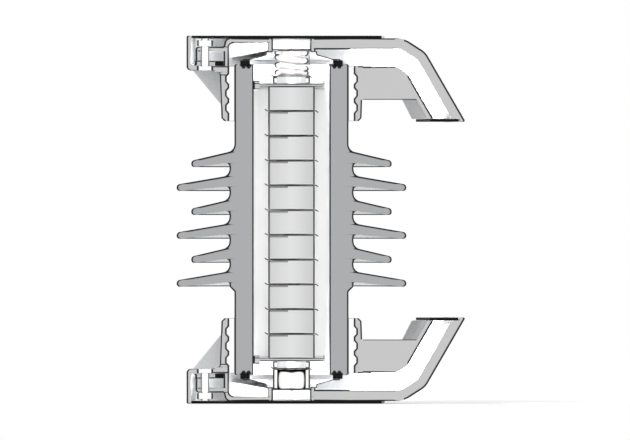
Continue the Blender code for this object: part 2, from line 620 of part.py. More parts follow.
def build_sealing_ring(parts):
    inner, outer = RING_RADIUS - RING_WIDTH / 2, RING_RADIUS + RING_WIDTH / 2
    outline = [(outer, RING_BASE_Z), (outer, RING_FACE_Z), (RING_RADIUS + RING_NOTCH, RING_FACE_Z)]
    outline += [(RING_RADIUS, RING_FACE_Z + RING_NOTCH), (RING_RADIUS - RING_NOTCH, RING_FACE_Z)]
    outline += [(inner, RING_FACE_Z), (inner, RING_BASE_Z)]
    for leg in (RING_RADIUS - RING_LEG_SPREAD / 2, RING_RADIUS + RING_LEG_SPREAD / 2):
        outline += [(max(inner + GAP, leg - RING_LEG_WIDTH / 2), RING_BASE_Z)]
        outline += [(leg, RING_BASE_Z + RING_LEG_DEPTH)]
        outline += [(min(outer - GAP, leg + RING_LEG_WIDTH / 2), RING_BASE_Z)]
    both_ends(turned("lower_sealing_ring", outline, parts), parts, "black_rubber")


def build_gasket(parts, tools):
    inner, outer = BELL_R + GAP, STEP_R - GAP
    low, high = SEAT_Z - GAP - GASKET_HEIGHT, SEAT_Z - GAP
    outline = [(outer, high), (outer, low), (inner, low), (inner, high)]
    obj = turned("lower_flange_gasket", outline, parts)
    combine(obj, [bay_cutter("tool_gasket_bay", tools)], "DIFFERENCE")
    both_ends(obj, parts, "black_rubber")


def build_bolts(parts, tools):
    corner_r = NUT_ACROSS_FLATS / math.sqrt(3)
    head_z = BACK_Z - HEAD_HEIGHT
    shank_r = BOLT_DIAMETER / 2
    shank_end_z = head_z + shank_r / 2
    nut_z = NUT_SEAT_Z - GAP
    bolt = rods("bolt", [(0, 0, shank_r, HOLE_SIDES, BOLT_END_Z, shank_end_z)], tools)
    nut = (0, 0, corner_r, NUT_SIDES, nut_z - NUT_HEIGHT, nut_z)
    ends = [nut, (0, 0, corner_r, NUT_SIDES, head_z, BACK_Z)]
    combine(bolt, [rods("tool_bolt_ends", ends, tools)], "UNION")
    settle(bolt, "galvanised_steel")
    for i, angle in enumerate(BOLT_ANGLES, 1):
        place = (BOLT_CIRCLE_R * math.cos(angle), BOLT_CIRCLE_R * math.sin(angle), 0)
        lower = link(f"lower_clamp_bolt_{i}", bolt.data, parts)
        lower.location = place
        lower.rotation_euler = (0, 0, angle)
        upper = link(f"upper_clamp_bolt_{i}", bolt.data, parts)
        upper.location = (place[0], -place[1], TOTAL_HEIGHT)
        upper.rotation_euler = (math.pi, 0, -angle)
    bpy.data.objects.remove(bolt)


def build_ring(name, low, height, parts, finish):
    inner = SEAT_RING_RADIUS - SEAT_RING_WALL
    outline = [(SEAT_RING_RADIUS, low + height), (SEAT_RING_RADIUS, low), (inner, low), (inner, low + height)]
    settle(turned(name, outline, parts, steps=SMALL_TURN), finish)


def build_end_plate(name, web_z, parts, tools):
    """A round plate with a raised rim and three straight edges, which leave the gas a way past it."""
    plate_r = BORE_RADIUS - PLATE_PLAY
    low = web_z - (PLATE_RIM_HEIGHT - PLATE_WEB) / 2
    high, top = low + PLATE_RIM_HEIGHT, web_z + PLATE_WEB
    rim_in = plate_r - PLATE_FLAT_CUT + PLATE_RIM_WIDTH / 2
    outline = [(0, top), (rim_in, top), (rim_in, high), (plate_r, high), (plate_r, low), (rim_in, low)]
    outline += [(rim_in, web_z), (0, web_z)]
    obj = turned(name, outline, parts, closed=False)
    edge, far = plate_r - PLATE_FLAT_CUT + PLATE_RIM_WIDTH, plate_r + OVERRUN
    flat = [(edge, low - OVERRUN), (far, low - OVERRUN), (far, high + OVERRUN), (edge, high + OVERRUN)]
    turns = [i * 2 * math.pi / PLATE_FLATS for i in range(PLATE_FLATS)]
    tool = slabs("tool_flats_" + name, [(flat, plate_r, turn) for turn in turns], tools)
    combine(obj, [tool], "DIFFERENCE")
    settle(obj, "aluminium")


def strip(name, points, width, thickness, parts, finish):
    """A bent sheet: its middle line in (x, z) drawn out across its width, then given its thickness."""
    shape = bmesh.new()
    verts = [shape.verts.new((x, -width / 2, z)) for x, z in points]
    edges = [shape.edges.new(pair) for pair in zip(verts, verts[1:])]
    grown = bmesh.ops.extrude_edge_only(shape, edges=edges)["geom"]
    moved = [item for item in grown if isinstance(item, bmesh.types.BMVert)]
    bmesh.ops.translate(shape, verts=moved, vec=(0, width, 0))
    bmesh.ops.recalc_face_normals(shape, faces=shape.faces[:])
    mesh = bpy.data.meshes.new(name)
    shape.to_mesh(mesh)
    shape.free()
    obj = link(name, mesh, parts, finish)
    wall = obj.modifiers.new("Sheet", "SOLIDIFY")
    wall.thickness = thickness
    wall.offset = 0
    wall.use_even_offset = True
    settle(obj, finish)


def contact_sheet(name, low, reach, parts):
    """A sheet whose left end is bent up and whose right end is bent down round what it lies on."""
    mid = low + SHEET_THICKNESS / 2
    points = [(-reach - SHEET_BEND_LENGTH, mid + SHEET_BEND_RISE), (-reach, mid), (reach, mid)]
    points += [(reach + SHEET_BEND_LENGTH, mid - SHEET_BEND_RISE)]
    strip(name, points, SHEET_WIDTH, SHEET_THICKNESS, parts, "dark_steel_sheet")


def build_stack(parts):
    half_turn = math.pi / SMALL_TURN
    reach = BLOCK_RADIUS / math.cos(half_turn) + SHEET_THICKNESS
    for i in range(BLOCK_COUNT):
        low = FIRST_BLOCK_Z + i * BLOCK_PITCH
        high = low + BLOCK_HEIGHT
        outline = [(0, high), (BLOCK_RADIUS - BLOCK_BEVEL, high), (BLOCK_RADIUS, high - BLOCK_BEVEL)]
        outline += [(BLOCK_RADIUS, low + BLOCK_BEVEL), (BLOCK_RADIUS - BLOCK_BEVEL, low), (0, low)]
        block = turned(f"varistor_block_{i + 1:02d}", outline, parts, steps=SMALL_TURN, closed=False)
        settle(block, "zinc_oxide")
        if i < BLOCK_COUNT - 1:
            contact_sheet(f"spacer_sheet_{i + 1:02d}", high + GAP, reach, parts)


def build_copper_sheet(parts):
    """One strip, bent to a C: its ends lie under and over the spring, so that current passes the coils by."""
    half = STRIP_THICKNESS / 2
    side = SPRING_RADIUS + SPRING_WIRE / 2 + GAP + half
    points = [(-SPRING_RADIUS, STRIP_Z + half), (side, STRIP_Z + half)]
    points += [(side, TAB_Z + half), (-SPRING_RADIUS, TAB_Z + half)]
    strip("copper_sheet", points, STRIP_WIDTH, STRIP_THICKNESS, parts, "copper")


def build_spring(parts, tools):
    """A round wire coiled past both ends and ground flat to its working length."""
    turns = SPRING_LENGTH / SPRING_PITCH + 1
    count = round(turns * COIL_POINTS)
    curve = bpy.data.curves.new("pressure_spring", "CURVE")
    curve.dimensions = "3D"
    curve.bevel_depth = SPRING_WIRE / 2
    curve.bevel_resolution = 2
    curve.use_fill_caps = True
    line = curve.splines.new("POLY")
    line.points.add(count)
    middle = SPRING_Z + SPRING_LENGTH / 2
    rise = (SPRING_LENGTH - SPRING_WIRE / 2) / 2
    for i, point in enumerate(line.points):
        share = i / count
        angle = 2 * math.pi * turns * (share - 0.5)
        lift = max(-rise, min(rise, (share - 0.5) * turns * SPRING_PITCH))
        point.co = (SPRING_RADIUS * math.cos(angle), SPRING_RADIUS * math.sin(angle), middle + lift, 1)
    wire = bpy.data.objects.new("wire", curve)
    tools.objects.link(wire)
    bpy.context.view_layer.update()
    mesh = bpy.data.meshes.new_from_object(wire.evaluated_get(bpy.context.evaluated_depsgraph_get()))
    shape = bmesh.new()
    shape.from_mesh(mesh)
    bmesh.ops.remove_doubles(shape, verts=shape.verts[:], dist=MERGE_DISTANCE)
    bmesh.ops.recalc_face_normals(shape, faces=shape.faces[:])
    shape.to_mesh(mesh)
    shape.free()
    bpy.data.objects.remove(wire)
    obj = link("pressure_spring", mesh, parts)
    reach = SPRING_RADIUS + SPRING_WIRE
    place = (0, 0, reach, SMALL_TURN, SPRING_Z, SPRING_Z + SPRING_LENGTH)
    combine(obj, [rods("tool_spring_length", [place], tools)], "INTERSECT")
    settle(obj, "spring_steel")


def build_bag(parts):
    radius = SEAT_RING_RADIUS - SEAT_RING_WALL - BAG_PLAY
    low, high = TUBE_Z, TUBE_Z + TUBE_HEIGHT - BAG_HEAD_ROOM
    middle = (low + high) / 2
    outline = [(0, high - BAG_CREASE, 0, 0), (radius / 2, high, BAG_CREASE, 2), (radius, high, radius / 3, 2)]
    outline += [(radius - BAG_CREASE / 2, middle, 0, 0), (radius, low, radius / 3, 2), (0, low, 0, 0)]
    obj = turned("desiccant_bag", filleted(outline), parts, steps=SMALL_TURN, closed=False)
    settle(obj, "bag_cloth")


def main():
    clear_scene()
    parts = new_collection("surge_arrester")
    tools = new_collection("cutters")
    build_porcelain(parts)
    build_flange(parts, tools)
    build_cement(parts)
    build_duct_casting(parts, tools)
    build_indicator(parts)
    build_flange_cover(parts, tools)
    build_sealing_cover(parts)
    build_sealing_ring(parts)
    build_gasket(parts, tools)
    build_bolts(parts, tools)
    build_ring("desiccant_tube", TUBE_Z, TUBE_HEIGHT, parts, "aluminium")
    contact_sheet("base_contact_sheet", BASE_SHEET_Z, SEAT_RING_RADIUS, parts)
    build_ring("base_ring", BASE_RING_Z, SEAT_RING_HEIGHT, parts, "aluminium")
    build_end_plate("lower_end_plate", BASE_PLATE_Z, parts, tools)
    build_stack(parts)
    build_end_plate("upper_end_plate", TOP_PLATE_Z, parts, tools)
    build_ring("spring_seat_ring", TOP_RING_Z, SEAT_RING_HEIGHT, parts, "aluminium")
    contact_sheet("spring_contact_sheet", PAD_Z, SEAT_RING_RADIUS, parts)
    build_copper_sheet(parts)
    build_spring(parts, tools)
    build_bag(parts)


main()
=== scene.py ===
import math
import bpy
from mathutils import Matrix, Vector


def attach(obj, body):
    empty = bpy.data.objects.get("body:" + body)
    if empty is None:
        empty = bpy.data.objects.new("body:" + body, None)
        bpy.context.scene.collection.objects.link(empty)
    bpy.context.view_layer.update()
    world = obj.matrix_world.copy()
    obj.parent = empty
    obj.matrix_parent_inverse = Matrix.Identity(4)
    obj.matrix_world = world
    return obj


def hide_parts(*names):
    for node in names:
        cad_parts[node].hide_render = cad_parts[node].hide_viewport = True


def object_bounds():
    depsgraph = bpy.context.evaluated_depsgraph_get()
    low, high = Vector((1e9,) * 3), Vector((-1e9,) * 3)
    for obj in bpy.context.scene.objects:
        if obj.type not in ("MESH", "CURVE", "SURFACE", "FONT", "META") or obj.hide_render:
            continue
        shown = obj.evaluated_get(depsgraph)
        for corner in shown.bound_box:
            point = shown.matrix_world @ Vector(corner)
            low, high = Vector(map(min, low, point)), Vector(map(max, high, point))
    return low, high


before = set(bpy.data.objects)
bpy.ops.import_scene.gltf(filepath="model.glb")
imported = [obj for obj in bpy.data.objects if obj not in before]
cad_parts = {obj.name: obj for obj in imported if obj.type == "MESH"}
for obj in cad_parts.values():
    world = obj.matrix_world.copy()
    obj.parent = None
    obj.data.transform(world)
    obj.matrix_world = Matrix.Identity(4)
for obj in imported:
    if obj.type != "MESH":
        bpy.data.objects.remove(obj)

from types import SimpleNamespace

import bpy
from bpy.props import FloatProperty, FloatVectorProperty, IntProperty, PointerProperty
from mathutils import Matrix, Vector

bl_info = {
    "name": "Porcelain Surge Arrester",
    "version": (1, 0, 0),
    "blender": (4, 5, 0),
    "location": "View3D > Sidebar > Arrester",
    "description": "Dresses a surge arrester with vented flanges and its stack of metal-oxide blocks",
    "category": "Add Mesh",
}

# The frame's own box, its height and the plane half way up, over which the lower end is turned to the upper
CAD_LOW, CAD_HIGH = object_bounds()
HEIGHT = CAD_HIGH.z
MIDDLE = HEIGHT / 2

# Clearance between pieces, how far a cutter runs past what it cuts, and the reach that joins doubled corners
GAP = 0.0003
OVERRUN = 0.004
MERGE = 0.00001

# Segments of a full turn for large, medium and small round pieces, of a sector, of a coil and of an arc
LARGE_TURN = 144
MEDIUM_TURN = 96
SMALL_TURN = 48
SECTOR_STEPS = 24
COIL_STEPS = 36
ARC = 5

# Roundings of edges, from those turned on a lathe to those of thick castings
TURNED_EDGE = 0.0003
FINE_EDGE = 0.0005
SHEET_EDGE = 0.0006
SMALL_EDGE = 0.0008
EDGE = 0.0010
CAST_EDGE = 0.0012
SOFT_EDGE = 0.0015

# Angles between faces: ease() rounds the larger ones, dress() shades the smaller ones smooth
EASE_ANGLE = math.radians(40)
SMOOTH_ANGLE = math.radians(35)
CLOTH_ANGLE = math.radians(80)

# Turns of the ribs inside the bell, in degrees from the duct
RIB_TURNS = (80, 120, 160, 200, 240, 280)

# The part of a pattern's range that carries the whole change of a colour or a roughness
PATTERN_LOW, PATTERN_HIGH = 0.3, 0.7

# Painted shade that makes a block's flat cut face look round: levels from its left edge to its right one, as
# (place, level), and their tint
BLOCK_PAINTED_SHADE = (
    (0.0, 0.64), (0.06, 0.66), (0.26, 0.71), (0.5, 0.765),
    (0.66, 0.72), (0.8, 0.66), (0.97, 0.61), (1.0, 0.57),
)
BLOCK_TINT = (1.0, 1.005, 1.01)

# Floor: its grey, its roughness, and the glow that lets the camera see it as white
FLOOR_GREY, FLOOR_ROUGHNESS, FLOOR_GLOW = 0.86, 0.9, 0.24

# Sun: its width in the sky and the way that its light goes
SUN_WIDTH = math.radians(18)
SUN_WAY = (0.55, 0.75, -1.0)

# Distance of most inner lamps in front of the section plane
LAMP_DEPTH = 0.014


def length(name, default, description):
    return FloatProperty(name=name, description=description, default=default, min=0, unit="LENGTH")


def angle(name, degrees, description):
    return FloatProperty(name=name, description=description, default=math.radians(degrees), subtype="ANGLE")


def colour(name, red, green, blue, description):
    return FloatVectorProperty(
        name=name, description=description, default=(red, green, blue), size=3, min=0, max=1, subtype="COLOR"
    )


class ArresterHousing(bpy.types.PropertyGroup):
    """Sizes of the porcelain housing, its sealing rings and its sealing covers."""

    bore: length("Bore radius", 0.0491, "Radius of the hole that the stack stands in")
    wall: length("Wall", 0.0222, "Thickness of the porcelain where the cement holds it")
    swell: length("Swell", 0.0062, "How much further out the trunk between the sheds is")
    small_overhang: length("Small shed", 0.0478, "How far a small shed stands out from the trunk")
    large_overhang: length("Large shed", 0.0661, "How far a large shed stands out from the trunk")
    pairs: IntProperty(name="Shed pairs", description="Pairs of a large and a small shed", default=3, min=1)
    pair_pitch: length("Pair pitch", 0.0599, "Height from one large shed to the next")
    small_above: length("Small above large", 0.0297, "Height from a large shed to the small one over it")
    below_middle: length("Below middle", 0.0042, "How far the sheds' centre lies under mid height")
    root_rise: length("Root rise", 0.0144, "Height of a shed's upper root over its tip")
    tip_rise: length("Tip rise", 0.0031, "Height of a shed's upper edge over its tip")
    tip_drop: length("Tip drop", 0.0053, "Depth of a shed's drip edge under its tip")
    # Height of the band of painted shade along each drip edge
    drip_shade: length("Drip", 0.0020, "Height of the glaze gathered at a drip edge")
    under_rise: length("Under rise", 0.0010, "Height of a shed's lower root over its tip")
    root_round: length("Root round", 0.0100, "Radius at a shed's upper root")
    tip_round: length("Tip round", 0.0045, "Radius round a shed's tip")
    under_round: length("Under round", 0.0050, "Radius at a shed's lower root")
    chamfer: length("Chamfer", 0.0010, "Chamfer at the porcelain's ends")
    ring_radius: length("Ring radius", 0.0580, "Middle radius of the sealing ring")
    ring_width: length("Ring width", 0.0122, "Radial width of the sealing ring")
    ring_body: length("Ring body", 0.0070, "Height of the sealing ring without its legs")
    ring_recess: length("Ring recess", 0.0022, "Depth of the sealing ring's seat in the porcelain")
    leg_spread: length("Leg spread", 0.0062, "Distance between the ring's two sealing legs")
    leg_width: length("Leg width", 0.0038, "Width of a sealing leg at its foot")
    leg_depth: length("Leg depth", 0.0029, "How far a sealing leg reaches into the porcelain")
    notch: length("Notch", 0.0011, "Depth of the notch in the ring's face")
    sheet: length("Cover sheet", 0.0012, "Thickness of the pre-stressed sealing cover")
    cone_rise: length("Cone rise", 0.0058, "Height of the sealing cover's cone")
    cone_run: length("Cone run", 0.0205, "Radial width of the sealing cover's cone")
    lip_step: length("Lip step", 0.0040, "Step of the cover under the casting's lip")
    centre_step: length("Centre step", 0.0025, "Step of the cover's middle inside the lip")
    dimple: length("Dimple", 0.0028, "Radius of the dimple in the cover's middle")
    dimple_depth: length("Dimple depth", 0.0012, "Depth of the dimple in the cover's middle")


class ArresterCastings(bpy.types.PropertyGroup):
    """Sizes of the flange casting, the duct casting, their bolts and the cement."""

    cement: length("Cement", 0.0087, "Radial thickness of the cement joint")
    key_depth: length("Key depth", 0.0031, "Depth of the cement keys in the collar's bore")
    keys: IntProperty(name="Keys", description="Cement keys in each collar", default=3, min=1)
    key_pitch: length("Key pitch", 0.0180, "Height from one cement key to the next")
    key_width: length("Key width", 0.0070, "Width of a key's floor")
    key_flank: length("Key flank", 0.0037, "Height of a key's sloping side")
    key_start: length("Key start", 0.0090, "Height of the first key over the seat")
    collar_wall: length("Collar wall", 0.0065, "Wall outside the cement keys")
    collar_taper: length("Collar taper", 0.0020, "How much the collar narrows towards its end")
    collar_height: length("Collar height", 0.0632, "Height of the collar over the flange plate")
    collar_chamfer: length("Collar chamfer", 0.0036, "Chamfer round the collar's end")
    root_round: length("Root round", 0.0090, "Radius at the collar's root")
    root_rise: length("Root rise", 0.0016, "Height of the pad round the collar's root")
    flange: length("Flange", 0.0057, "Thickness of the flange plate")
    ledge: length("Ledge", 0.0031, "Width of the pad outside the step")
    proud: length("Proud", 0.0020, "How far the porcelain stands out of the flange")
    rim: length("Rim", 0.0055, "Thickness of the rim wall")
    groove: length("Groove", 0.0057, "Width of the groove inside the rim")
    rim_corner: length("Rim corner", 0.0050, "Radius at the rim's back")
    rim_round: length("Rim round", 0.0018, "Radius at the rim's edge")
    floor: length("Duct floor", 0.0060, "Wall of the duct's floor")
    floor_drop: length("Floor drop", 0.0010, "Step from the seat to the duct's floor")
    floor_run: length("Floor run", 0.0138, "Run of the floor's shoulder")
    web: length("Web", 0.0060, "Thickness of the web between collar and duct")
    web_reach: length("Web reach", 0.0366, "Height of the web over the flange plate")
    gusset: length("Gusset", 0.0050, "Thickness of a gusset")
    gusset_rise: length("Gusset rise", 0.0440, "Height of a gusset on the collar")
    gusset_inset: length("Gusset inset", 0.0055, "Distance of a gusset's foot from the rim")
    gusset_angle: angle("Gusset angle", 12, "Turn from a bolt to the gussets on either side")
    bolts: IntProperty(name="Bolts", description="Clamp bolts at each end", default=5, min=3)
    bolt_turn: angle("Bolt turn", 60, "Turn from the duct to the first bolt and between bolts")
    bolt: length("Bolt", 0.0100, "Thread diameter of a clamp bolt")
    bolt_offset: length("Bolt offset", 0.0122, "Distance of the bolts from the gasket's step")
    stick_out: length("Stick out", 0.0019, "How far a bolt stands out of its nut")
    end_play: length("End play", 0.0006, "Play between a bolt's end and the cover")
    hole_play: length("Hole play", 0.0005, "Play round a bolt in its hole")
    across_flats: length("Across flats", 0.0170, "Width of nut and head across their flats")
    nut: length("Nut", 0.0080, "Height of a nut")
    head: length("Head", 0.0057, "Height of a bolt's head")
    pocket_play: length("Pocket play", 0.0012, "Play round a head in its pocket")
    gasket_width: length("Gasket width", 0.0105, "Radial width of the flange gasket")
    gasket: length("Gasket", 0.0059, "Height of the flange gasket")
    cover: length("Flange cover", 0.0030, "Thickness of the flange cover")
    cover_play: length("Cover play", 0.0006, "Play between the cover and the rim")
    cover_cut: length("Cover cut", 0.0125, "Depth of the cover's straight edge")
    bell_top: length("Bell top", 0.0051, "Wall over the bell and the duct")
    bell_wall: length("Bell wall", 0.0048, "Wall round the bell")
    shoulder: length("Shoulder", 0.0094, "Width of the bell's rounded shoulder")
    shoulder_round: length("Shoulder round", 0.0060, "Radius of the bell's shoulder")
    bolt_plate: length("Bolt plate", 0.0054, "Thickness of the bolting plate")
    skirt: length("Skirt", 0.0061, "Thickness of the skirt outside the bolts")
    skirt_height: length("Skirt height", 0.0121, "Height of the skirt under the bolting plate")
    skirt_chamfer: length("Skirt chamfer", 0.0030, "Chamfer of the bolting plate's edge")
    lip_radius: length("Lip radius", 0.0250, "Inner radius of the lip round the sealing cover")
    lip: length("Lip", 0.0050, "Wall of the lip")
    lip_round: length("Lip round", 0.0030, "Radius of the lip's edge")
    rib: length("Rib", 0.0050, "Thickness of a rib inside the bell")
    rib_slope: length("Rib slope", 0.0099, "Rise of a rib from the lip to the bell wall")
    duct_angle: angle("Duct angle", 26, "Half the turn that the duct spans")
    side_angle: angle("Side angle", 2, "Turn taken by a duct's side wall")
    bay_angle: angle("Bay play", 1, "Turn left free beside the duct")
    roof_ahead: length("Roof ahead", 0.0095, "Distance of the roof's knee from the rim")
    roof_run: length("Roof run", 0.0270, "Run of the roof's shoulder")
    roof_knee: length("Roof knee", 0.0320, "Radius of the roof's first knee")
    roof_bend: length("Roof bend", 0.0240, "Radius of the roof's second knee")
    knee: length("Floor knee", 0.0120, "Radius of the duct floor's first knee")
    duct_rib: length("Duct rib", 0.0060, "Thickness of the rib under the duct's roof")
    duct_rib_depth: length("Duct rib depth", 0.0080, "Depth of the rib under the duct's roof")
    shoulder_angle: angle("Shoulder angle", 33, "Slope of the duct's shoulder")
    leg_angle: angle("Leg angle", 60, "Slope of the duct's leg")
    outlet: length("Outlet", 0.0659, "Height of the duct's outlet over the seat")
    outlet_lip: length("Outlet lip", 0.0040, "How far the roof runs past the outlet")
    indicator: length("Indicator", 0.0033, "Thickness of the indication plate")
    indicator_seat: length("Indicator seat", 0.0044, "Seat of the indication plate on the duct's floor")
    indicator_angle: angle("Indicator play", 0.3, "Turn left free beside the indication plate")


class ArresterStack(bpy.types.PropertyGroup):
    """Sizes of the block stack and of what clamps it."""

    blocks: IntProperty(name="Blocks", description="Metal-oxide blocks in the stack", default=11, min=1)
    radius: length("Block radius", 0.0290, "Radius of a block")
    height: length("Block height", 0.0292, "Height of a block")
    bevel: length("Block bevel", 0.0008, "Rounding of a block's edges")
    sheet: length("Spacer sheet", 0.0012, "Thickness of a spacer sheet")
    web: length("Plate web", 0.0036, "Thickness of an end plate's middle")
    plate_play: length("Plate play", 0.0016, "Play of an end plate in the bore")
    rim_height: length("Rim height", 0.0104, "Height of an end plate's rim")
    rim_width: length("Rim width", 0.0032, "Width of an end plate's rim")
    flat_cut: length("Flat cut", 0.0094, "Depth of an end plate's straight edges")
    flats: IntProperty(name="Flats", description="Straight edges of an end plate", default=3, min=1)
    ring_radius: length("Ring radius", 0.0231, "Radius of the seat rings and the tube")
    ring_wall: length("Ring wall", 0.0052, "Wall of the seat rings and the tube")
    ring_height: length("Ring height", 0.0081, "Height of a seat ring")
    tube_height: length("Tube height", 0.0244, "Height of the tube round the desiccant bag")
    strip: length("Copper strip", 0.0008, "Thickness of the copper strip")
    spring_radius: length("Spring radius", 0.0174, "Middle radius of the spring's coils")
    wire: length("Wire", 0.0080, "Diameter of the spring's wire")
    spring: length("Spring", 0.0291, "Length of the loaded spring")
    spring_pitch: length("Spring pitch", 0.0098, "Pitch of the spring's coils")
    bag_play: length("Bag play", 0.0012, "Play round the bag in its tube")
    bag_head_room: length("Bag head room", 0.0030, "Room over the bag in its tube")


class ArresterLooks(bpy.types.PropertyGroup):
    """Colours of the surfaces, and the painted light that the faces cut by the sectional view glow with."""

    glaze: colour("Glaze", 0.37, 0.38, 0.39, "Grey glaze of the porcelain")
    # Colour of the painted shade along each drip edge
    drip_shade_colour: colour("Drip glaze", 0.09, 0.09, 0.095, "Glaze gathered at a drip edge")
    biscuit: colour("Biscuit", 0.86, 0.86, 0.86, "Unglazed bore of the porcelain")
    casting: colour("Casting", 0.72, 0.73, 0.74, "Cast aluminium")
    cement: colour("Cement", 0.74, 0.73, 0.70, "Cement joint")
    rubber: colour("Rubber", 0.20, 0.20, 0.205, "Sealing rubber")
    dark_sheet: colour("Dark sheet", 0.024, 0.024, 0.026, "Dark coated steel sheet")
    bright_sheet: colour("Bright sheet", 0.72, 0.73, 0.74, "Pressed stainless sheet")
    zinc: colour("Zinc", 0.60, 0.62, 0.64, "Galvanised bolts and nuts")
    machined: colour("Machined", 0.72, 0.73, 0.74, "Machined aluminium")
    oxide: colour("Oxide", 0.62, 0.62, 0.61, "Glazed side of a metal-oxide block")
    copper: colour("Copper", 0.72, 0.36, 0.22, "Copper strip")
    steel_wire: colour("Steel wire", 0.70, 0.70, 0.71, "Spring wire")
    cloth: colour("Bag cloth", 0.83, 0.81, 0.76, "Cloth of the desiccant bag")
    # Painted light: each cut face glows evenly in its cut colour, in place of a lit face
    cut_porcelain: colour("Cut porcelain", 0.418, 0.423, 0.434, "Cut face of the porcelain")
    cut_casting: colour("Cut casting", 0.578, 0.578, 0.578, "Cut face of a casting")
    cut_plate: colour("Cut plate", 0.60, 0.60, 0.60, "Cut face of an end plate")
    cut_white: colour("Cut white", 1.0, 1.0, 1.0, "Cut face of cement, bolts and fittings")
    cut_dark: colour("Cut dark", 0.012, 0.012, 0.012, "Cut face of rubber and dark sheet")
    cut_line: colour("Cut line", 0.022, 0.022, 0.023, "Edge line of every cut face")


def measures():
    """Radii, and heights of the lower end from the face that it stands on, worked out from the sizes."""
    scene = bpy.context.scene
    h, c, s = scene.arrester_housing, scene.arrester_castings, scene.arrester_stack
    m = SimpleNamespace(housing=h, castings=c, stack=s, looks=scene.arrester_looks)
    m.trunk_end_r = h.bore + h.wall
    m.trunk_r = m.trunk_end_r + h.swell
    m.collar_bore_r = m.trunk_end_r + c.cement
    m.collar_r = m.collar_bore_r + c.key_depth + c.collar_wall
    m.bell_r = m.collar_bore_r + c.bell_wall
    m.step_r = m.bell_r + c.gasket_width + 2 * GAP
    m.bolt_circle_r = m.step_r + c.bolt_offset
    m.hole_r = c.bolt / 2 + c.hole_play
    m.skirt_in_r = m.bolt_circle_r + m.hole_r + GAP
    m.skirt_r = m.skirt_in_r + c.skirt
    m.rim_in_r = m.skirt_r + c.groove
    m.rim_r = m.rim_in_r + c.rim
    m.pad_r = m.step_r + c.ledge
    m.roof_knee_r = m.rim_r + c.roof_ahead

    m.bell_z = c.cover + GAP
    m.bell_in_z = m.bell_z + c.bell_top
    m.bolt_end_z = c.cover + c.end_play
    m.nut_seat_z = m.bolt_end_z + c.stick_out + c.nut + GAP
    m.plate_in_z = m.nut_seat_z + c.bolt_plate
    m.face_z = m.plate_in_z + c.skirt_height
    m.seat_z = m.face_z + c.gasket + 2 * GAP
    m.back_z = m.seat_z + c.flange
    m.collar_end_z = m.back_z + c.collar_height
    m.porcelain_z = m.seat_z - c.proud
    m.ring_base_z = m.porcelain_z + h.ring_recess - GAP
    m.ring_face_z = m.ring_base_z - h.ring_body
    m.cover_rim_z = m.ring_face_z - GAP - h.sheet
    m.cone_top_z = m.cover_rim_z - h.cone_rise
    m.lip_seat_z = m.cone_top_z - h.lip_step
    m.centre_z = m.lip_seat_z - h.centre_step
    m.floor_z = m.seat_z + c.floor_drop
    m.outlet_z = m.seat_z + c.outlet

    m.sheds_height = (h.pairs - 1) * h.pair_pitch + h.small_above
    m.lowest_shed_z = MIDDLE - h.below_middle - m.sheds_height / 2

    m.tube_z = m.centre_z + h.sheet + GAP
    m.base_ring_z = m.tube_z + s.tube_height + s.sheet + 2 * GAP
    m.base_plate_z = m.base_ring_z + s.ring_height + GAP
    m.first_block_z = m.base_plate_z + s.web + GAP
    m.pitch = s.height + s.sheet + 2 * GAP
    m.top_plate_z = m.first_block_z + s.blocks * m.pitch - s.sheet - GAP
    m.top_ring_z = m.top_plate_z + s.web + GAP
    m.spring_z = m.top_ring_z + s.ring_height + s.sheet + s.strip + 3 * GAP
    return m


def plain(*points):
    return [(r, z, 0, 0) for r, z in points]


def rounded(outline):
    """Outline of (r, z, radius, steps) corners, each rounded corner turned into an arc of points."""
    share = 0.48
    points = []
    for i, (r, z, radius, steps) in enumerate(outline):
        corner = Vector((r, z))
        if not steps:
            points.append(corner)
            continue
        back = Vector(outline[i - 1][:2]) - corner
        ahead = Vector(outline[(i + 1) % len(outline)][:2]) - corner
        half = back.angle(ahead) / 2
        reach = min(radius / math.tan(half), back.length * share, ahead.length * share)
        radius = reach * math.tan(half)
        middle = corner + (back.normalized() + ahead.normalized()).normalized() * radius / math.sin(half)
        first = corner + back.normalized() * reach - middle
        turn = first.angle_signed(corner + ahead.normalized() * reach - middle)
        for step in range(steps + 1):
            points.append(middle + Matrix.Rotation(-turn * step / steps, 2) @ first)
    return points


def deselect():
    if bpy.context.mode != "OBJECT":
        bpy.ops.object.mode_set(mode="OBJECT")
    bpy.ops.object.select_all(action="DESELECT")


def draw(points):
    """Starts from a plane drawn together to one corner, and extrudes it from place to place."""
    deselect()
    bpy.ops.mesh.primitive_plane_add(size=OVERRUN, location=points[0])
    bpy.ops.object.mode_set(mode="EDIT")
    bpy.ops.mesh.select_mode(type="VERT")
    bpy.ops.mesh.merge(type="CENTER")
    for here, there in zip(points, points[1:]):
        bpy.ops.mesh.extrude_region_move(TRANSFORM_OT_translate={"value": there - here})
    bpy.ops.mesh.select_all(action="SELECT")
    return bpy.context.object


def close_up(obj, name):
    """Merges doubles, turns the faces outwards and puts the origin at the frame's own."""
    bpy.ops.mesh.select_all(action="SELECT")
    bpy.ops.mesh.remove_doubles(threshold=MERGE)
    bpy.ops.mesh.normals_make_consistent(inside=False)
    bpy.ops.object.mode_set(mode="OBJECT")
    bpy.ops.object.transform_apply(location=True, rotation=True, scale=True)
    obj.name = obj.data.name = name
    return obj


def turned(name, outline, steps):
    """A profile of (r, z) corners spun once round the housing's axis; it closes on itself or on the axis."""
    points = [Vector((r, 0, z)) for r, z in outline]
    if points[0].x > MERGE or points[-1].x > MERGE:
        points.append(points[0])
    obj = draw(points)
    bpy.ops.mesh.spin(steps=steps, angle=2 * math.pi, center=(0, 0, 0), axis=(0, 0, 1))
    return close_up(obj, name)


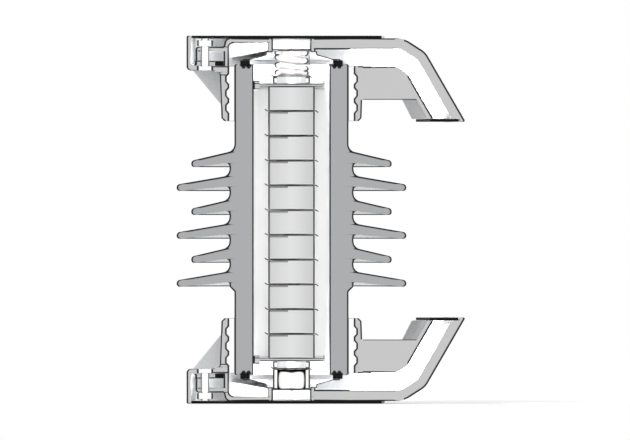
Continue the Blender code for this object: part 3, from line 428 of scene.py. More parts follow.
def sector(name, outline, half_angle, steps=SECTOR_STEPS):
    """A flat outline in (r, z), spun to half_angle on each side of the duct's middle."""
    start = Matrix.Rotation(-half_angle, 3, "Z")
    obj = draw([start @ Vector((r, 0, z)) for r, z in outline])
    bpy.ops.mesh.edge_face_add()
    bpy.ops.mesh.spin(steps=steps, angle=-2 * half_angle, center=(0, 0, 0), axis=(0, 0, 1))
    return close_up(obj, name)


def slab(name, outline, thickness, turn):
    """A flat plate on the half plane through the axis at the angle turn."""
    place = Matrix.Rotation(turn, 3, "Z")
    obj = draw([place @ Vector((r, -thickness / 2, z)) for r, z in outline])
    bpy.ops.mesh.edge_face_add()
    across = place @ Vector((0, thickness, 0))
    bpy.ops.mesh.extrude_region_move(TRANSFORM_OT_translate={"value": across})
    return close_up(obj, name)


def rod(name, x, y, radius, low, high, sides):
    """An upright cylinder or prism, with a corner facing the axis, used to drill and to cut hexagons."""
    deselect()
    place = (x, y, (low + high) / 2)
    bpy.ops.mesh.primitive_cylinder_add(vertices=sides, radius=radius, depth=high - low, location=place)
    bpy.context.object.rotation_euler.z = math.atan2(y, x) + math.pi / sides
    bpy.ops.object.mode_set(mode="EDIT")
    return close_up(bpy.context.object, name)


def make_active(obj):
    deselect()
    obj.select_set(True)
    bpy.context.view_layer.objects.active = obj


def ease(obj, width, clamp=True):
    """Rounds the sharp edges of a piece; clamp keeps each rounding inside its own faces."""
    make_active(obj)
    bevel = obj.modifiers.new("Ease", "BEVEL")
    bevel.width = width
    bevel.segments = 2
    bevel.limit_method = "ANGLE"
    bevel.angle_limit = EASE_ANGLE
    bevel.use_clamp_overlap = clamp
    bpy.ops.object.modifier_apply(modifier=bevel.name)
    return obj


def combine(obj, tools, operation):
    """Joins, cuts or crosses a piece with its tools, and puts the tools away."""
    make_active(obj)
    for tool in tools:
        step = obj.modifiers.new(tool.name, "BOOLEAN")
        step.operation = operation
        step.solver = "EXACT"
        step.object = tool
        bpy.ops.object.modifier_apply(modifier=step.name)
        bpy.data.objects.remove(tool)
    return obj


def dress(obj, material, slot, *nodes, smooth=SMOOTH_ANGLE):
    """Smooths a finished piece, gives it its material and lets it stand for its nodes of the frame."""
    make_active(obj)
    bpy.ops.object.shade_smooth_by_angle(angle=smooth)
    even = obj.modifiers.new("Even", "WEIGHTED_NORMAL")
    even.keep_sharp = True
    bpy.ops.object.modifier_apply(modifier=even.name)
    obj.data.materials.clear()
    obj.data.materials.append(material)
    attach(obj, "root")
    if nodes:
        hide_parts(*nodes)


def upper_of(obj, name):
    """A copy with a mesh of its own, turned over to the other end."""
    make_active(obj)
    bpy.ops.object.duplicate(linked=False)
    copy = bpy.context.object
    copy.name = copy.data.name = name
    copy.rotation_euler = (math.pi, 0, 0)
    copy.location = (0, 0, HEIGHT)
    bpy.ops.object.transform_apply(location=True, rotation=True, scale=True)
    return copy


def both_ends(obj, node, material, slot):
    """Dresses a piece of the lower end and its turned-over copy at the upper end."""
    dress(obj, material, slot, "lower_" + node)
    upper = upper_of(obj, obj.name.replace("lower", "upper"))
    dress(upper, material, slot, "upper_" + node)


def duct_line(m, knee_r, flat_z, run, end_z, inset):
    """The two knees and the end of a duct wall, inset at right angles towards the axis side."""
    c = m.castings
    middle, half = (c.shoulder_angle + c.leg_angle) / 2, (c.leg_angle - c.shoulder_angle) / 2
    first = (knee_r - inset * math.tan(c.shoulder_angle / 2), flat_z + inset)
    second_r = knee_r + run - inset * math.sin(middle) / math.cos(half)
    second_z = flat_z + run * math.tan(c.shoulder_angle) + inset * math.cos(middle) / math.cos(half)
    return [first, (second_r, second_z), (second_r + (end_z - second_z) / math.tan(c.leg_angle), end_z)]


def floor_line(m, inset=0.0, end_z=None):
    return duct_line(m, m.rim_r, m.floor_z, m.castings.floor_run, end_z or m.outlet_z, inset)


def roof_line(m, inset=0.0, end_z=None):
    return duct_line(m, m.roof_knee_r, m.bell_z, m.castings.roof_run, end_z or m.outlet_z, inset)


def bent(line, first_round, second_round):
    """A duct wall's line with its two knees rounded."""
    first, second, end = line
    return [(*first, first_round, ARC), (*second, second_round, ARC), (*end, 0, 0)]


def bolt_turns(m):
    return [m.castings.bolt_turn * (i + 1) for i in range(m.castings.bolts)]


def bolt_holes(m, name, radius, low, high):
    places = [(m.bolt_circle_r * math.cos(t), m.bolt_circle_r * math.sin(t)) for t in bolt_turns(m)]
    return [rod(f"{name}_{i}", x, y, radius, low, high, SMALL_TURN) for i, (x, y) in enumerate(places)]


def keyed_bore(m, inset=0.0):
    """The collar's bore with its cement keys, from the seat upwards."""
    c = m.castings
    bore, deep = m.collar_bore_r - inset, m.collar_bore_r + c.key_depth - inset
    points = plain((bore, m.seat_z))
    for key in range(c.keys):
        start = m.seat_z + c.key_start + key * c.key_pitch
        points += [(bore, start, EDGE, 2), (deep, start + c.key_flank, EDGE, 2)]
        points += [(deep, start + c.key_flank + c.key_width, EDGE, 2)]
        points += [(bore, start + 2 * c.key_flank + c.key_width, EDGE, 2)]
    return points + plain((bore, m.collar_end_z))


def bay_cutter(m, name):
    """The wedge that keeps the rim, the bolting face and the gasket out of the duct's bay."""
    inner, outer, high = m.bell_r - OVERRUN, m.rim_r + OVERRUN, m.back_z + OVERRUN
    outline = [(inner, -OVERRUN), (outer, -OVERRUN), (outer, high), (inner, high)]
    return sector(name, outline, m.castings.duct_angle + m.castings.bay_angle)


class Finish:
    """A procedural material on Object coordinates, with short ways to add and join its nodes."""

    def __init__(self, name, base, roughness, metallic=0.0):
        self.material = bpy.data.materials.new(name)
        self.material.use_nodes = True
        self.tree = self.material.node_tree
        self.shader = self.tree.nodes["Principled BSDF"]
        self.output = self.tree.nodes["Material Output"]
        self.shader.inputs["Roughness"].default_value = roughness
        self.shader.inputs["Metallic"].default_value = metallic
        self.paint(self.constant(base))
        self.place = self.add("ShaderNodeTexCoord").outputs["Object"]
        self.bump = None  # The relief so far, which the next one adds to

    def add(self, kind, **settings):
        node = self.tree.nodes.new(kind)
        for key, value in settings.items():
            setattr(node, key, value)
        return node

    def feed(self, socket, value):
        if isinstance(value, bpy.types.NodeSocket):
            self.tree.links.new(value, socket)
        else:
            socket.default_value = value

    def constant(self, rgb):
        return (*rgb, 1)

    def maths(self, operation, first, second=0.0):
        node = self.add("ShaderNodeMath", operation=operation)
        self.feed(node.inputs[0], first)
        self.feed(node.inputs[1], second)
        return node.outputs[0]

    def times(self, first, *others):
        for other in others:
            first = self.maths("MULTIPLY", first, other)
        return first

    def rest(self, value):
        """What is left of one."""
        return self.maths("SUBTRACT", 1.0, value)

    def span(self, value, low, high, to_low=0.0, to_high=1.0, kind="SMOOTHSTEP"):
        """Carries a value over from one range to another, smoothly unless kind is LINEAR."""
        node = self.add("ShaderNodeMapRange", interpolation_type=kind)
        for socket, given in zip(node.inputs[:5], (value, low, high, to_low, to_high)):
            self.feed(socket, given)
        return node.outputs[0]

    def mix(self, factor, first, second):
        node = self.add("ShaderNodeMix", data_type="RGBA")
        self.feed(node.inputs[0], factor)
        self.feed(node.inputs[6], first)
        self.feed(node.inputs[7], second)
        return node.outputs[2]

    def noise(self, scale, detail=3.0, stretch=(1, 1, 1)):
        mapping = self.add("ShaderNodeMapping")
        mapping.inputs["Scale"].default_value = stretch
        self.feed(mapping.inputs["Vector"], self.place)
        node = self.add("ShaderNodeTexNoise")
        node.inputs["Scale"].default_value = scale
        node.inputs["Detail"].default_value = detail
        self.feed(node.inputs["Vector"], mapping.outputs[0])
        return node.outputs["Fac"]

    def axes(self):
        split = self.add("ShaderNodeSeparateXYZ")
        self.feed(split.inputs[0], self.place)
        return split.outputs

    def radius(self):
        x, y, _ = self.axes()
        return self.maths("SQRT", self.maths("ADD", self.times(x, x), self.times(y, y)))

    def paint(self, value):
        self.base = value
        self.feed(self.shader.inputs["Base Color"], value)

    def shade(self, factor, low, high):
        """Varies the base colour between two levels of itself."""
        node = self.add("ShaderNodeVectorMath", operation="SCALE")
        self.feed(node.inputs[0], self.base if isinstance(self.base, bpy.types.NodeSocket) else self.base[:3])
        self.feed(node.inputs["Scale"], self.span(factor, PATTERN_LOW, PATTERN_HIGH, low, high))
        self.paint(node.outputs[0])

    def rough(self, factor, low, high):
        self.feed(self.shader.inputs["Roughness"], self.span(factor, PATTERN_LOW, PATTERN_HIGH, low, high))

    def relief(self, height, strength, distance):
        node = self.add("ShaderNodeBump")
        node.inputs["Strength"].default_value = strength
        node.inputs["Distance"].default_value = distance
        self.feed(node.inputs["Height"], height)
        if self.bump:
            self.feed(node.inputs["Normal"], self.bump)
        self.bump = node.outputs[0]
        self.feed(self.shader.inputs["Normal"], self.bump)

    def edge_depth(self):
        """How far inside its outline a cut wall is met, from its depth behind the cut and its slope to it."""
        normal = self.add("ShaderNodeSeparateXYZ")
        self.feed(normal.inputs[0], self.add("ShaderNodeNewGeometry").outputs["Normal"])
        ahead = self.times(normal.outputs[1], normal.outputs[1])
        least_level, depth_share = 0.0001, 0.6
        level = self.maths("SQRT", self.maths("MAXIMUM", self.rest(ahead), least_level))
        slope = self.maths("DIVIDE", self.maths("SQRT", ahead), level)
        return self.times(self.axes()[1], slope, depth_share)

    def across_boxes(self, boxes):
        """Of each box (x, x, z, z) of the lower end: where x is in it, height off its middle, half height."""
        x, _, z = self.axes()
        z = self.maths("MINIMUM", z, self.maths("SUBTRACT", HEIGHT, z))
        for left, right, low, high in boxes:
            across = self.maths("ABSOLUTE", self.maths("SUBTRACT", x, (left + right) / 2))
            up = self.maths("ABSOLUTE", self.maths("SUBTRACT", z, (low + high) / 2))
            yield self.maths("LESS_THAN", across, (right - left) / 2), up, (high - low) / 2

    def in_boxes(self, boxes):
        """Where a cut wall lies inside boxes."""
        inside = 0.0
        for within, up, half in self.across_boxes(boxes):
            within = self.times(within, self.maths("LESS_THAN", up, half))
            inside = self.maths("MAXIMUM", inside, within)
        return inside

    def level_edges(self, boxes, width=0.0010):
        """Where the level edges of boxes lie on a cut wall."""
        edges = 0.0
        for within, up, half in self.across_boxes(boxes):
            low, high = self.maths("GREATER_THAN", up, half - width), self.maths("LESS_THAN", up, half + GAP)
            edges = self.maths("MAXIMUM", edges, self.times(within, high, low))
        return edges

    def cut_face(self, face, line, thickness=0.0029, bore_r=0.0, boxes=(), joined=()):
        """Painted light: the inner side of the walls glows evenly, so that a cut solid looks solid and lit,
        with an edge line.

        Boxes get a line along their level edges, joined ones lose every line. Nearer the axis than bore_r
        the outer side of a wall has the line too.
        """
        self.material.cycles.emission_sampling = "NONE"
        dark_share = 0.55
        inside = self.span(self.edge_depth(), thickness * dark_share, thickness)
        if joined:
            inside = self.maths("MAXIMUM", inside, self.in_boxes(joined))
        if boxes:
            inside = self.times(inside, self.rest(self.level_edges(boxes)))
        glow = self.add("ShaderNodeEmission")
        self.feed(glow.inputs["Color"], self.mix(inside, self.constant(line), face))
        shader = self.shader.outputs[0]
        if bore_r:
            dark = self.times(self.maths("LESS_THAN", self.radius(), bore_r), self.rest(inside))
            edge = self.add("ShaderNodeEmission")
            edge.inputs["Color"].default_value = self.constant(line)
            shader = self.blend(dark, shader, edge.outputs[0])
        behind = self.add("ShaderNodeNewGeometry").outputs["Backfacing"]
        self.feed(self.output.inputs["Surface"], self.blend(behind, shader, glow.outputs[0]))
        return self.material

    def blend(self, factor, first, second):
        node = self.add("ShaderNodeMixShader")
        self.feed(node.inputs[0], factor)
        self.feed(node.inputs[1], first)
        self.feed(node.inputs[2], second)
        return node.outputs[0]


def glazed_porcelain(m):
    """Grey glaze with painted shade, dark and dull, along the drip edges, and an unglazed bore."""
    looks, h = m.looks, m.housing
    finish = Finish("glazed_porcelain", looks.glaze, roughness=0.16)
    finish.shader.inputs["Coat Roughness"].default_value = 0.05
    finish.shade(finish.noise(scale=22, detail=4), low=0.95, high=1.05)
    finish.shade(finish.noise(scale=900, detail=2), low=0.97, high=1.03)
    # Painted shade: a dark band under each shed's drip edge, with less coat and specular there
    over_drip = finish.maths("SUBTRACT", finish.axes()[2], m.lowest_shed_z - h.tip_drop)
    over_drip = finish.maths("MODULO", finish.maths("ADD", over_drip, GAP), h.pair_pitch)
    drip_shade = 0.0
    for shed_z in (0, h.small_above):
        offset = finish.maths("ABSOLUTE", finish.maths("SUBTRACT", over_drip, shed_z + h.drip_shade / 2))
        drip_shade = finish.maths("MAXIMUM", drip_shade, finish.maths("LESS_THAN", offset, h.drip_shade / 2))
    outside = finish.maths("GREATER_THAN", finish.radius(), m.trunk_r + h.small_overhang / 2)
    drip_shade = finish.times(drip_shade, outside)
    finish.paint(finish.mix(drip_shade, finish.base, finish.constant(looks.drip_shade_colour)))
    for socket, level in (("Coat Weight", 0.6), ("Specular IOR Level", 0.5)):
        finish.feed(finish.shader.inputs[socket], finish.times(finish.rest(drip_shade), level))
    bore = finish.maths("LESS_THAN", finish.radius(), h.bore + GAP)
    finish.paint(finish.mix(bore, finish.base, finish.constant(looks.biscuit)))
    finish.rough(finish.noise(scale=60, detail=3), low=0.12, high=0.22)
    finish.relief(finish.noise(scale=70, detail=2), strength=0.10, distance=0.0008)
    inner, outer = h.bore + h.tip_round, m.trunk_end_r - h.tip_round
    joined = [(-outer, -inner, m.back_z, MIDDLE + GAP), (inner, outer, m.back_z, MIDDLE + GAP)]
    face = finish.constant(looks.cut_porcelain)
    return finish.cut_face(face, looks.cut_line, bore_r=h.bore + GAP, joined=joined)


def cast_aluminium(m):
    """Sand-cast aluminium: a fine grain, faint blotches and soft pits."""
    looks = m.looks
    finish = Finish("cast_aluminium", looks.casting, roughness=0.42, metallic=0.25)
    finish.shade(finish.noise(scale=14, detail=5), low=0.93, high=1.05)
    finish.shade(finish.noise(scale=520, detail=3), low=0.94, high=1.05)
    finish.rough(finish.noise(scale=35, detail=4), low=0.36, high=0.52)
    finish.relief(finish.noise(scale=650, detail=3), strength=0.35, distance=0.0004)
    finish.relief(finish.noise(scale=60, detail=3), strength=0.12, distance=0.0010)
    c = m.castings
    shoulder_r, spine_z = m.bell_r - c.shoulder, m.bell_in_z + c.duct_rib_depth
    web_end = m.back_z + c.web_reach
    web_r = floor_line(m, c.floor, web_end)[2][0]
    roof_r = m.roof_knee_r - c.roof_knee / 3
    # The bell's top and the duct's roof, bolting plate, skirt, rim, pad, duct floor and web, collar walls
    boxes = [
        (-shoulder_r, -c.lip_radius - c.lip_round, m.bell_z, m.bell_in_z),
        (c.lip_radius + c.lip_round, roof_r, m.bell_z, spine_z),
        (-m.skirt_r + c.skirt_chamfer, -m.bell_r, m.nut_seat_z, m.plate_in_z),
        (-m.skirt_r, -m.step_r, m.face_z, m.back_z),
        (-m.rim_r + c.rim_corner, -m.skirt_r, m.seat_z - c.groove, m.back_z),
        (-m.pad_r, -m.collar_bore_r, m.seat_z, 2 * m.back_z - m.seat_z),
        (m.collar_r, m.rim_r, m.floor_z, 2 * web_end - m.floor_z),
        (m.collar_r, web_r, m.floor_z - web_end, web_end),
        (-m.collar_r, -m.collar_bore_r - c.key_depth, m.seat_z, m.collar_end_z),
        (m.collar_bore_r + c.key_depth, m.collar_r, m.seat_z, m.collar_end_z),
    ]
    # Roof with its rib, and floor with its web, each cut as one solid
    joined = [
        (c.lip_radius + c.lip_round, m.roof_knee_r, m.bell_z + GAP, spine_z),
        (m.collar_bore_r + c.key_depth + c.collar_taper, floor_line(m)[1][0], m.floor_z + GAP, web_end),
    ]
    face = finish.constant(looks.cut_casting)
    return finish.cut_face(face, looks.cut_line, bore_r=m.collar_bore_r + GAP, boxes=boxes, joined=joined)


def cement_joint(m):
    looks = m.looks
    finish = Finish("portland_cement", looks.cement, roughness=0.92)
    finish.shade(finish.noise(scale=300, detail=5), low=0.82, high=1.08)
    finish.relief(finish.noise(scale=900, detail=4), strength=0.5, distance=0.0005)
    return finish.cut_face(finish.constant(looks.cut_white), looks.cut_line)


def moulded_rubber(m):
    looks = m.looks
    finish = Finish("moulded_rubber", looks.rubber, roughness=0.62)
    finish.shade(finish.noise(scale=160, detail=4), low=0.9, high=1.1)
    finish.relief(finish.noise(scale=1200, detail=2), strength=0.2, distance=0.0002)
    return finish.cut_face(finish.constant(looks.cut_dark), looks.cut_line)


def dark_sheet(m):
    looks = m.looks
    finish = Finish("dark_coated_sheet", looks.dark_sheet, roughness=0.6)
    finish.shader.inputs["Specular IOR Level"].default_value = 0.2
    finish.shade(finish.noise(scale=9, detail=4), low=0.93, high=1.07)
    finish.shade(finish.noise(scale=600, detail=2), low=0.94, high=1.06)
    finish.rough(finish.noise(scale=40, detail=3), low=0.57, high=0.63)
    finish.relief(finish.noise(scale=900, detail=2), strength=0.05, distance=0.0002)
    return finish.cut_face(finish.constant(looks.cut_dark), looks.cut_dark)


def pressed_sheet(m):
    looks = m.looks
    finish = Finish("pressed_stainless_sheet", looks.bright_sheet, roughness=0.34, metallic=0.35)
    finish.shade(finish.noise(scale=18, detail=4), low=0.94, high=1.05)
    finish.relief(finish.noise(scale=600, detail=2, stretch=(1, 1, 6)), strength=0.08, distance=0.0002)
    return finish.cut_face(finish.constant(looks.cut_line), looks.cut_line)


def hot_dip_zinc(m):
    """Galvanised steel with its faint spangle."""
    looks = m.looks
    finish = Finish("hot_dip_zinc", looks.zinc, roughness=0.45, metallic=0.6)
    cells = finish.add("ShaderNodeTexVoronoi")
    cells.inputs["Scale"].default_value = 260
    finish.feed(cells.inputs["Vector"], finish.place)
    finish.shade(cells.outputs["Distance"], low=0.9, high=1.08)
    finish.relief(finish.noise(scale=500, detail=3), strength=0.2, distance=0.0003)
    return finish.cut_face(finish.constant(looks.cut_white), looks.cut_line, thickness=0.0016)


def machined_aluminium(m, name, face, boxes):
    """Turned aluminium, with tool marks round the axis."""
    looks = m.looks
    finish = Finish(name, looks.machined, roughness=0.32, metallic=0.35)
    rings = finish.add("ShaderNodeTexWave", wave_type="RINGS", rings_direction="Z")
    rings.inputs["Scale"].default_value = 420
    finish.feed(rings.inputs["Vector"], finish.place)
    finish.relief(rings.outputs["Fac"], strength=0.06, distance=0.0001)
    finish.shade(finish.noise(scale=40, detail=3), low=0.95, high=1.04)
    return finish.cut_face(finish.constant(face), looks.cut_line, boxes=boxes)


def metal_oxide(m):
    """A block's side; its cut face has painted shade that makes it look round, a painted highlight along its
    foot, a painted tab shadow and dark joints.
    """
    looks, s = m.looks, m.stack
    finish = Finish("metal_oxide", looks.oxide, roughness=0.35)
    finish.shade(finish.noise(scale=240, detail=5), low=0.92, high=1.06)
    finish.rough(finish.noise(scale=90, detail=3), low=0.28, high=0.45)
    finish.relief(finish.noise(scale=800, detail=2), strength=0.12, distance=0.0002)
    x, _, z = finish.axes()
    # Painted shade across the cut face, light in the middle and darker towards both edges
    across = finish.add("ShaderNodeValToRGB")
    ramp = across.color_ramp.elements
    for element, (place, level) in zip([*ramp, *(ramp.new(p) for p, _ in BLOCK_PAINTED_SHADE[2:])], BLOCK_PAINTED_SHADE):
        element.position = place
        element.color = (*(level * tint for tint in BLOCK_TINT), 1)
    finish.feed(across.inputs[0], finish.span(x, -s.radius, s.radius, kind="LINEAR"))

    # Painted highlight: a light band along the foot of each block's cut face
    highlight_low, highlight_high, highlight_grey = 0.0010, 0.0014, (0.90, 0.90, 0.90)
    within = finish.maths("MODULO", finish.maths("SUBTRACT", z, m.first_block_z - m.pitch), m.pitch)
    foot = finish.span(within, highlight_low, highlight_high, kind="LINEAR")
    face = finish.mix(foot, finish.constant(highlight_grey), across.outputs[0])

    # Painted shadow: a dark patch under the left half of each block's upper edge, left off the top block
    tab_height, tab_left, tab_right, tab_shadow_grey = 0.0026, -0.0272, -0.0045, (0.30, 0.30, 0.31)
    tab_shadow = finish.times(
        finish.maths("GREATER_THAN", within, s.height - tab_height),
        finish.maths("GREATER_THAN", x, tab_left), finish.maths("LESS_THAN", x, tab_right),
        finish.maths("LESS_THAN", z, m.top_plate_z - m.pitch / 2),
    )
    face = finish.mix(tab_shadow, face, finish.constant(tab_shadow_grey))

    off_middle = finish.maths("ABSOLUTE", finish.maths("SUBTRACT", within, s.height / 2))
    line_end = (s.height - s.bevel) / 2
    joint = finish.span(off_middle, line_end - GAP, line_end, kind="LINEAR")
    face = finish.mix(joint, face, finish.constant(looks.cut_line))
    return finish.cut_face(face, looks.cut_line)


def rolled_copper(m):
    looks = m.looks
    finish = Finish("rolled_copper", looks.copper, roughness=0.34, metallic=0.85)
    finish.shade(finish.noise(scale=60, detail=4), low=0.88, high=1.08)
    finish.relief(finish.noise(scale=700, detail=2, stretch=(1, 6, 1)), strength=0.1, distance=0.0001)
    return finish.cut_face(finish.constant(looks.cut_line), looks.cut_line)


def drawn_wire(m):
    looks = m.looks
    finish = Finish("drawn_spring_wire", looks.steel_wire, roughness=0.3, metallic=0.5)
    finish.shade(finish.noise(scale=90, detail=3), low=0.92, high=1.05)
    finish.relief(finish.noise(scale=800, detail=2), strength=0.1, distance=0.0002)
    return finish.cut_face(finish.constant(looks.cut_white), looks.cut_line)


def bag_cloth(m):
    """A plain weave, off-white."""
    looks = m.looks
    finish = Finish("desiccant_cloth", looks.cloth, roughness=0.9)
    for direction in ("X", "Z"):
        threads = finish.add("ShaderNodeTexWave", wave_type="BANDS", bands_direction=direction)
        threads.inputs["Scale"].default_value = 340
        finish.feed(threads.inputs["Vector"], finish.place)
        finish.shade(threads.outputs["Fac"], low=0.9, high=1.04)
        finish.relief(threads.outputs["Fac"], strength=0.3, distance=0.0002)
    finish.shader.inputs["Sheen Weight"].default_value = 0.3
    return finish.cut_face(finish.constant(looks.cut_white), looks.cloth)


def build_porcelain(m):
    h = m.housing

    def shed(root_r, overhang, tip_z):
        slope = (h.root_rise - h.tip_rise) / overhang
        tip_r = m.trunk_r + overhang
        return [
            (root_r, tip_z + h.root_rise + (m.trunk_r - root_r) * slope, h.root_round, ARC),
            (tip_r, tip_z + h.tip_rise, h.tip_round, ARC),
            (tip_r, tip_z - h.tip_drop, h.tip_round, ARC),
            (m.trunk_r, tip_z + h.under_rise, h.under_round, ARC),
        ]

    def seat(end_z, way):
        inner, outer = h.ring_radius - h.ring_width / 2 - GAP, h.ring_radius + h.ring_width / 2 + GAP
        base = end_z + way * h.ring_recess
        half_leg = h.leg_width / 2 + GAP
        face = [(m.trunk_end_r, end_z + way * h.chamfer), (m.trunk_end_r - h.chamfer, end_z)]
        face += [(outer, end_z), (outer, base)]
        for leg in (h.ring_radius + h.leg_spread / 2, h.ring_radius - h.leg_spread / 2):
            face += [(min(outer - GAP, leg + half_leg), base), (leg, base + way * (h.leg_depth + GAP))]
            face += [(max(inner + GAP, leg - half_leg), base)]
        return plain(*face, (inner, base), (inner, end_z), (h.bore, end_z))

    outline = list(reversed(seat(HEIGHT - m.porcelain_z, -1)))
    for pair in reversed(range(h.pairs)):
        large_z = m.lowest_shed_z + pair * h.pair_pitch
        root_r = m.trunk_end_r if pair == h.pairs - 1 else m.trunk_r
        outline += shed(root_r, h.small_overhang, large_z + h.small_above)
        outline += shed(m.trunk_r, h.large_overhang, large_z)
    foot = m.lowest_shed_z - h.under_round
    outline += [(m.trunk_r, foot, h.swell / 2, ARC), (m.trunk_end_r, foot - h.swell, h.swell / 2, ARC)]
    outline += seat(m.porcelain_z, 1)
    obj = turned("glazed_housing", rounded(outline), LARGE_TURN)
    dress(obj, glazed_porcelain(m), "grey_porcelain", "porcelain_housing")


def build_cement(m):
    outline = [(r, min(max(z, m.seat_z + GAP), m.collar_end_z - GAP)) for r, z in rounded(keyed_bore(m, GAP))]
    inner = m.trunk_end_r + GAP
    outline += [(inner, m.collar_end_z - GAP), (inner, m.seat_z + GAP)]
    obj = turned("lower_cement_joint", outline, LARGE_TURN)
    both_ends(obj, "cement", cement_joint(m), "cement")


def build_flanges(m, finish):
    c = m.castings
    end_r = m.collar_r - c.collar_taper
    root_z = m.back_z + c.root_rise
    collar = [(end_r - c.collar_chamfer, m.collar_end_z, EDGE, 2)]
    collar += [(end_r, m.collar_end_z - c.collar_chamfer, EDGE, 2), (m.collar_r, root_z, c.root_round, ARC)]
    collar += [(m.pad_r, root_z, SMALL_EDGE, 2), *plain((m.pad_r, m.seat_z)), *keyed_bore(m)]
    obj = turned("lower_flange_casting", rounded(collar), LARGE_TURN)

    groove_z, groove_r = m.seat_z - GAP, (m.skirt_r + m.rim_in_r) / 2
    ring = [(m.rim_r, m.back_z, c.rim_corner, ARC)]
    ring += [(m.rim_r, 0, c.rim_round, 3), (m.rim_in_r, 0, c.rim_round, 3)]
    ring += [(m.rim_in_r, groove_z - c.groove / 2, EDGE, 2), (groove_r, groove_z, EDGE, 2)]
    ring += [(m.skirt_r, groove_z - c.groove / 2, EDGE, 2)]
    ring += plain((m.skirt_r, m.face_z), (m.step_r, m.face_z), (m.step_r, m.back_z))
    rim = turned("tool_rim", rounded(ring), LARGE_TURN)
    combine(rim, [bay_cutter(m, "tool_flange_bay")], "DIFFERENCE")

    floor = plain((m.step_r, m.floor_z)) + bent(floor_line(m), c.knee, c.knee / 2)
    floor += reversed(bent(floor_line(m, c.floor), c.knee, c.knee / 2))
    floor += plain((m.step_r, m.floor_z + c.floor))
    duct = ease(sector("tool_floor", rounded(floor), c.duct_angle + 2 * c.bay_angle), CAST_EDGE)

    root_r = m.collar_r - c.collar_wall / 2
    web_end = m.back_z + c.web_reach
    web = plain((root_r, m.floor_z + c.floor / 2))
    web += bent(floor_line(m, c.floor / 2, web_end), c.knee, c.knee / 2) + plain((root_r, web_end))
    tools = [rim, duct, ease(slab("tool_web", rounded(web), c.web, 0), CAST_EDGE)]
    foot_r, foot_z = m.rim_r - c.gusset_inset, (m.seat_z + m.back_z) / 2
    gusset_z = m.back_z + c.gusset_rise
    gusset = [(root_r, foot_z), (foot_r, foot_z), (foot_r, m.back_z + GAP)]
    gusset += [(m.collar_r - c.collar_taper / 2, gusset_z), (root_r, gusset_z)]
    for turn in bolt_turns(m):
        for side in (-1, 1):
            tools.append(ease(slab("tool_gusset", gusset, c.gusset, turn + side * c.gusset_angle), EDGE))
    combine(obj, tools, "UNION")

    pocket_r = c.across_flats / math.sqrt(3) + c.pocket_play / 2
    cutters = bolt_holes(m, "tool_hole", m.hole_r, m.face_z - OVERRUN, m.back_z)
    cutters += bolt_holes(m, "tool_pocket", pocket_r, m.back_z - c.head - GAP, m.back_z + OVERRUN)
    combine(obj, cutters, "DIFFERENCE")
    both_ends(obj, "flange", finish, "cast_aluminium")


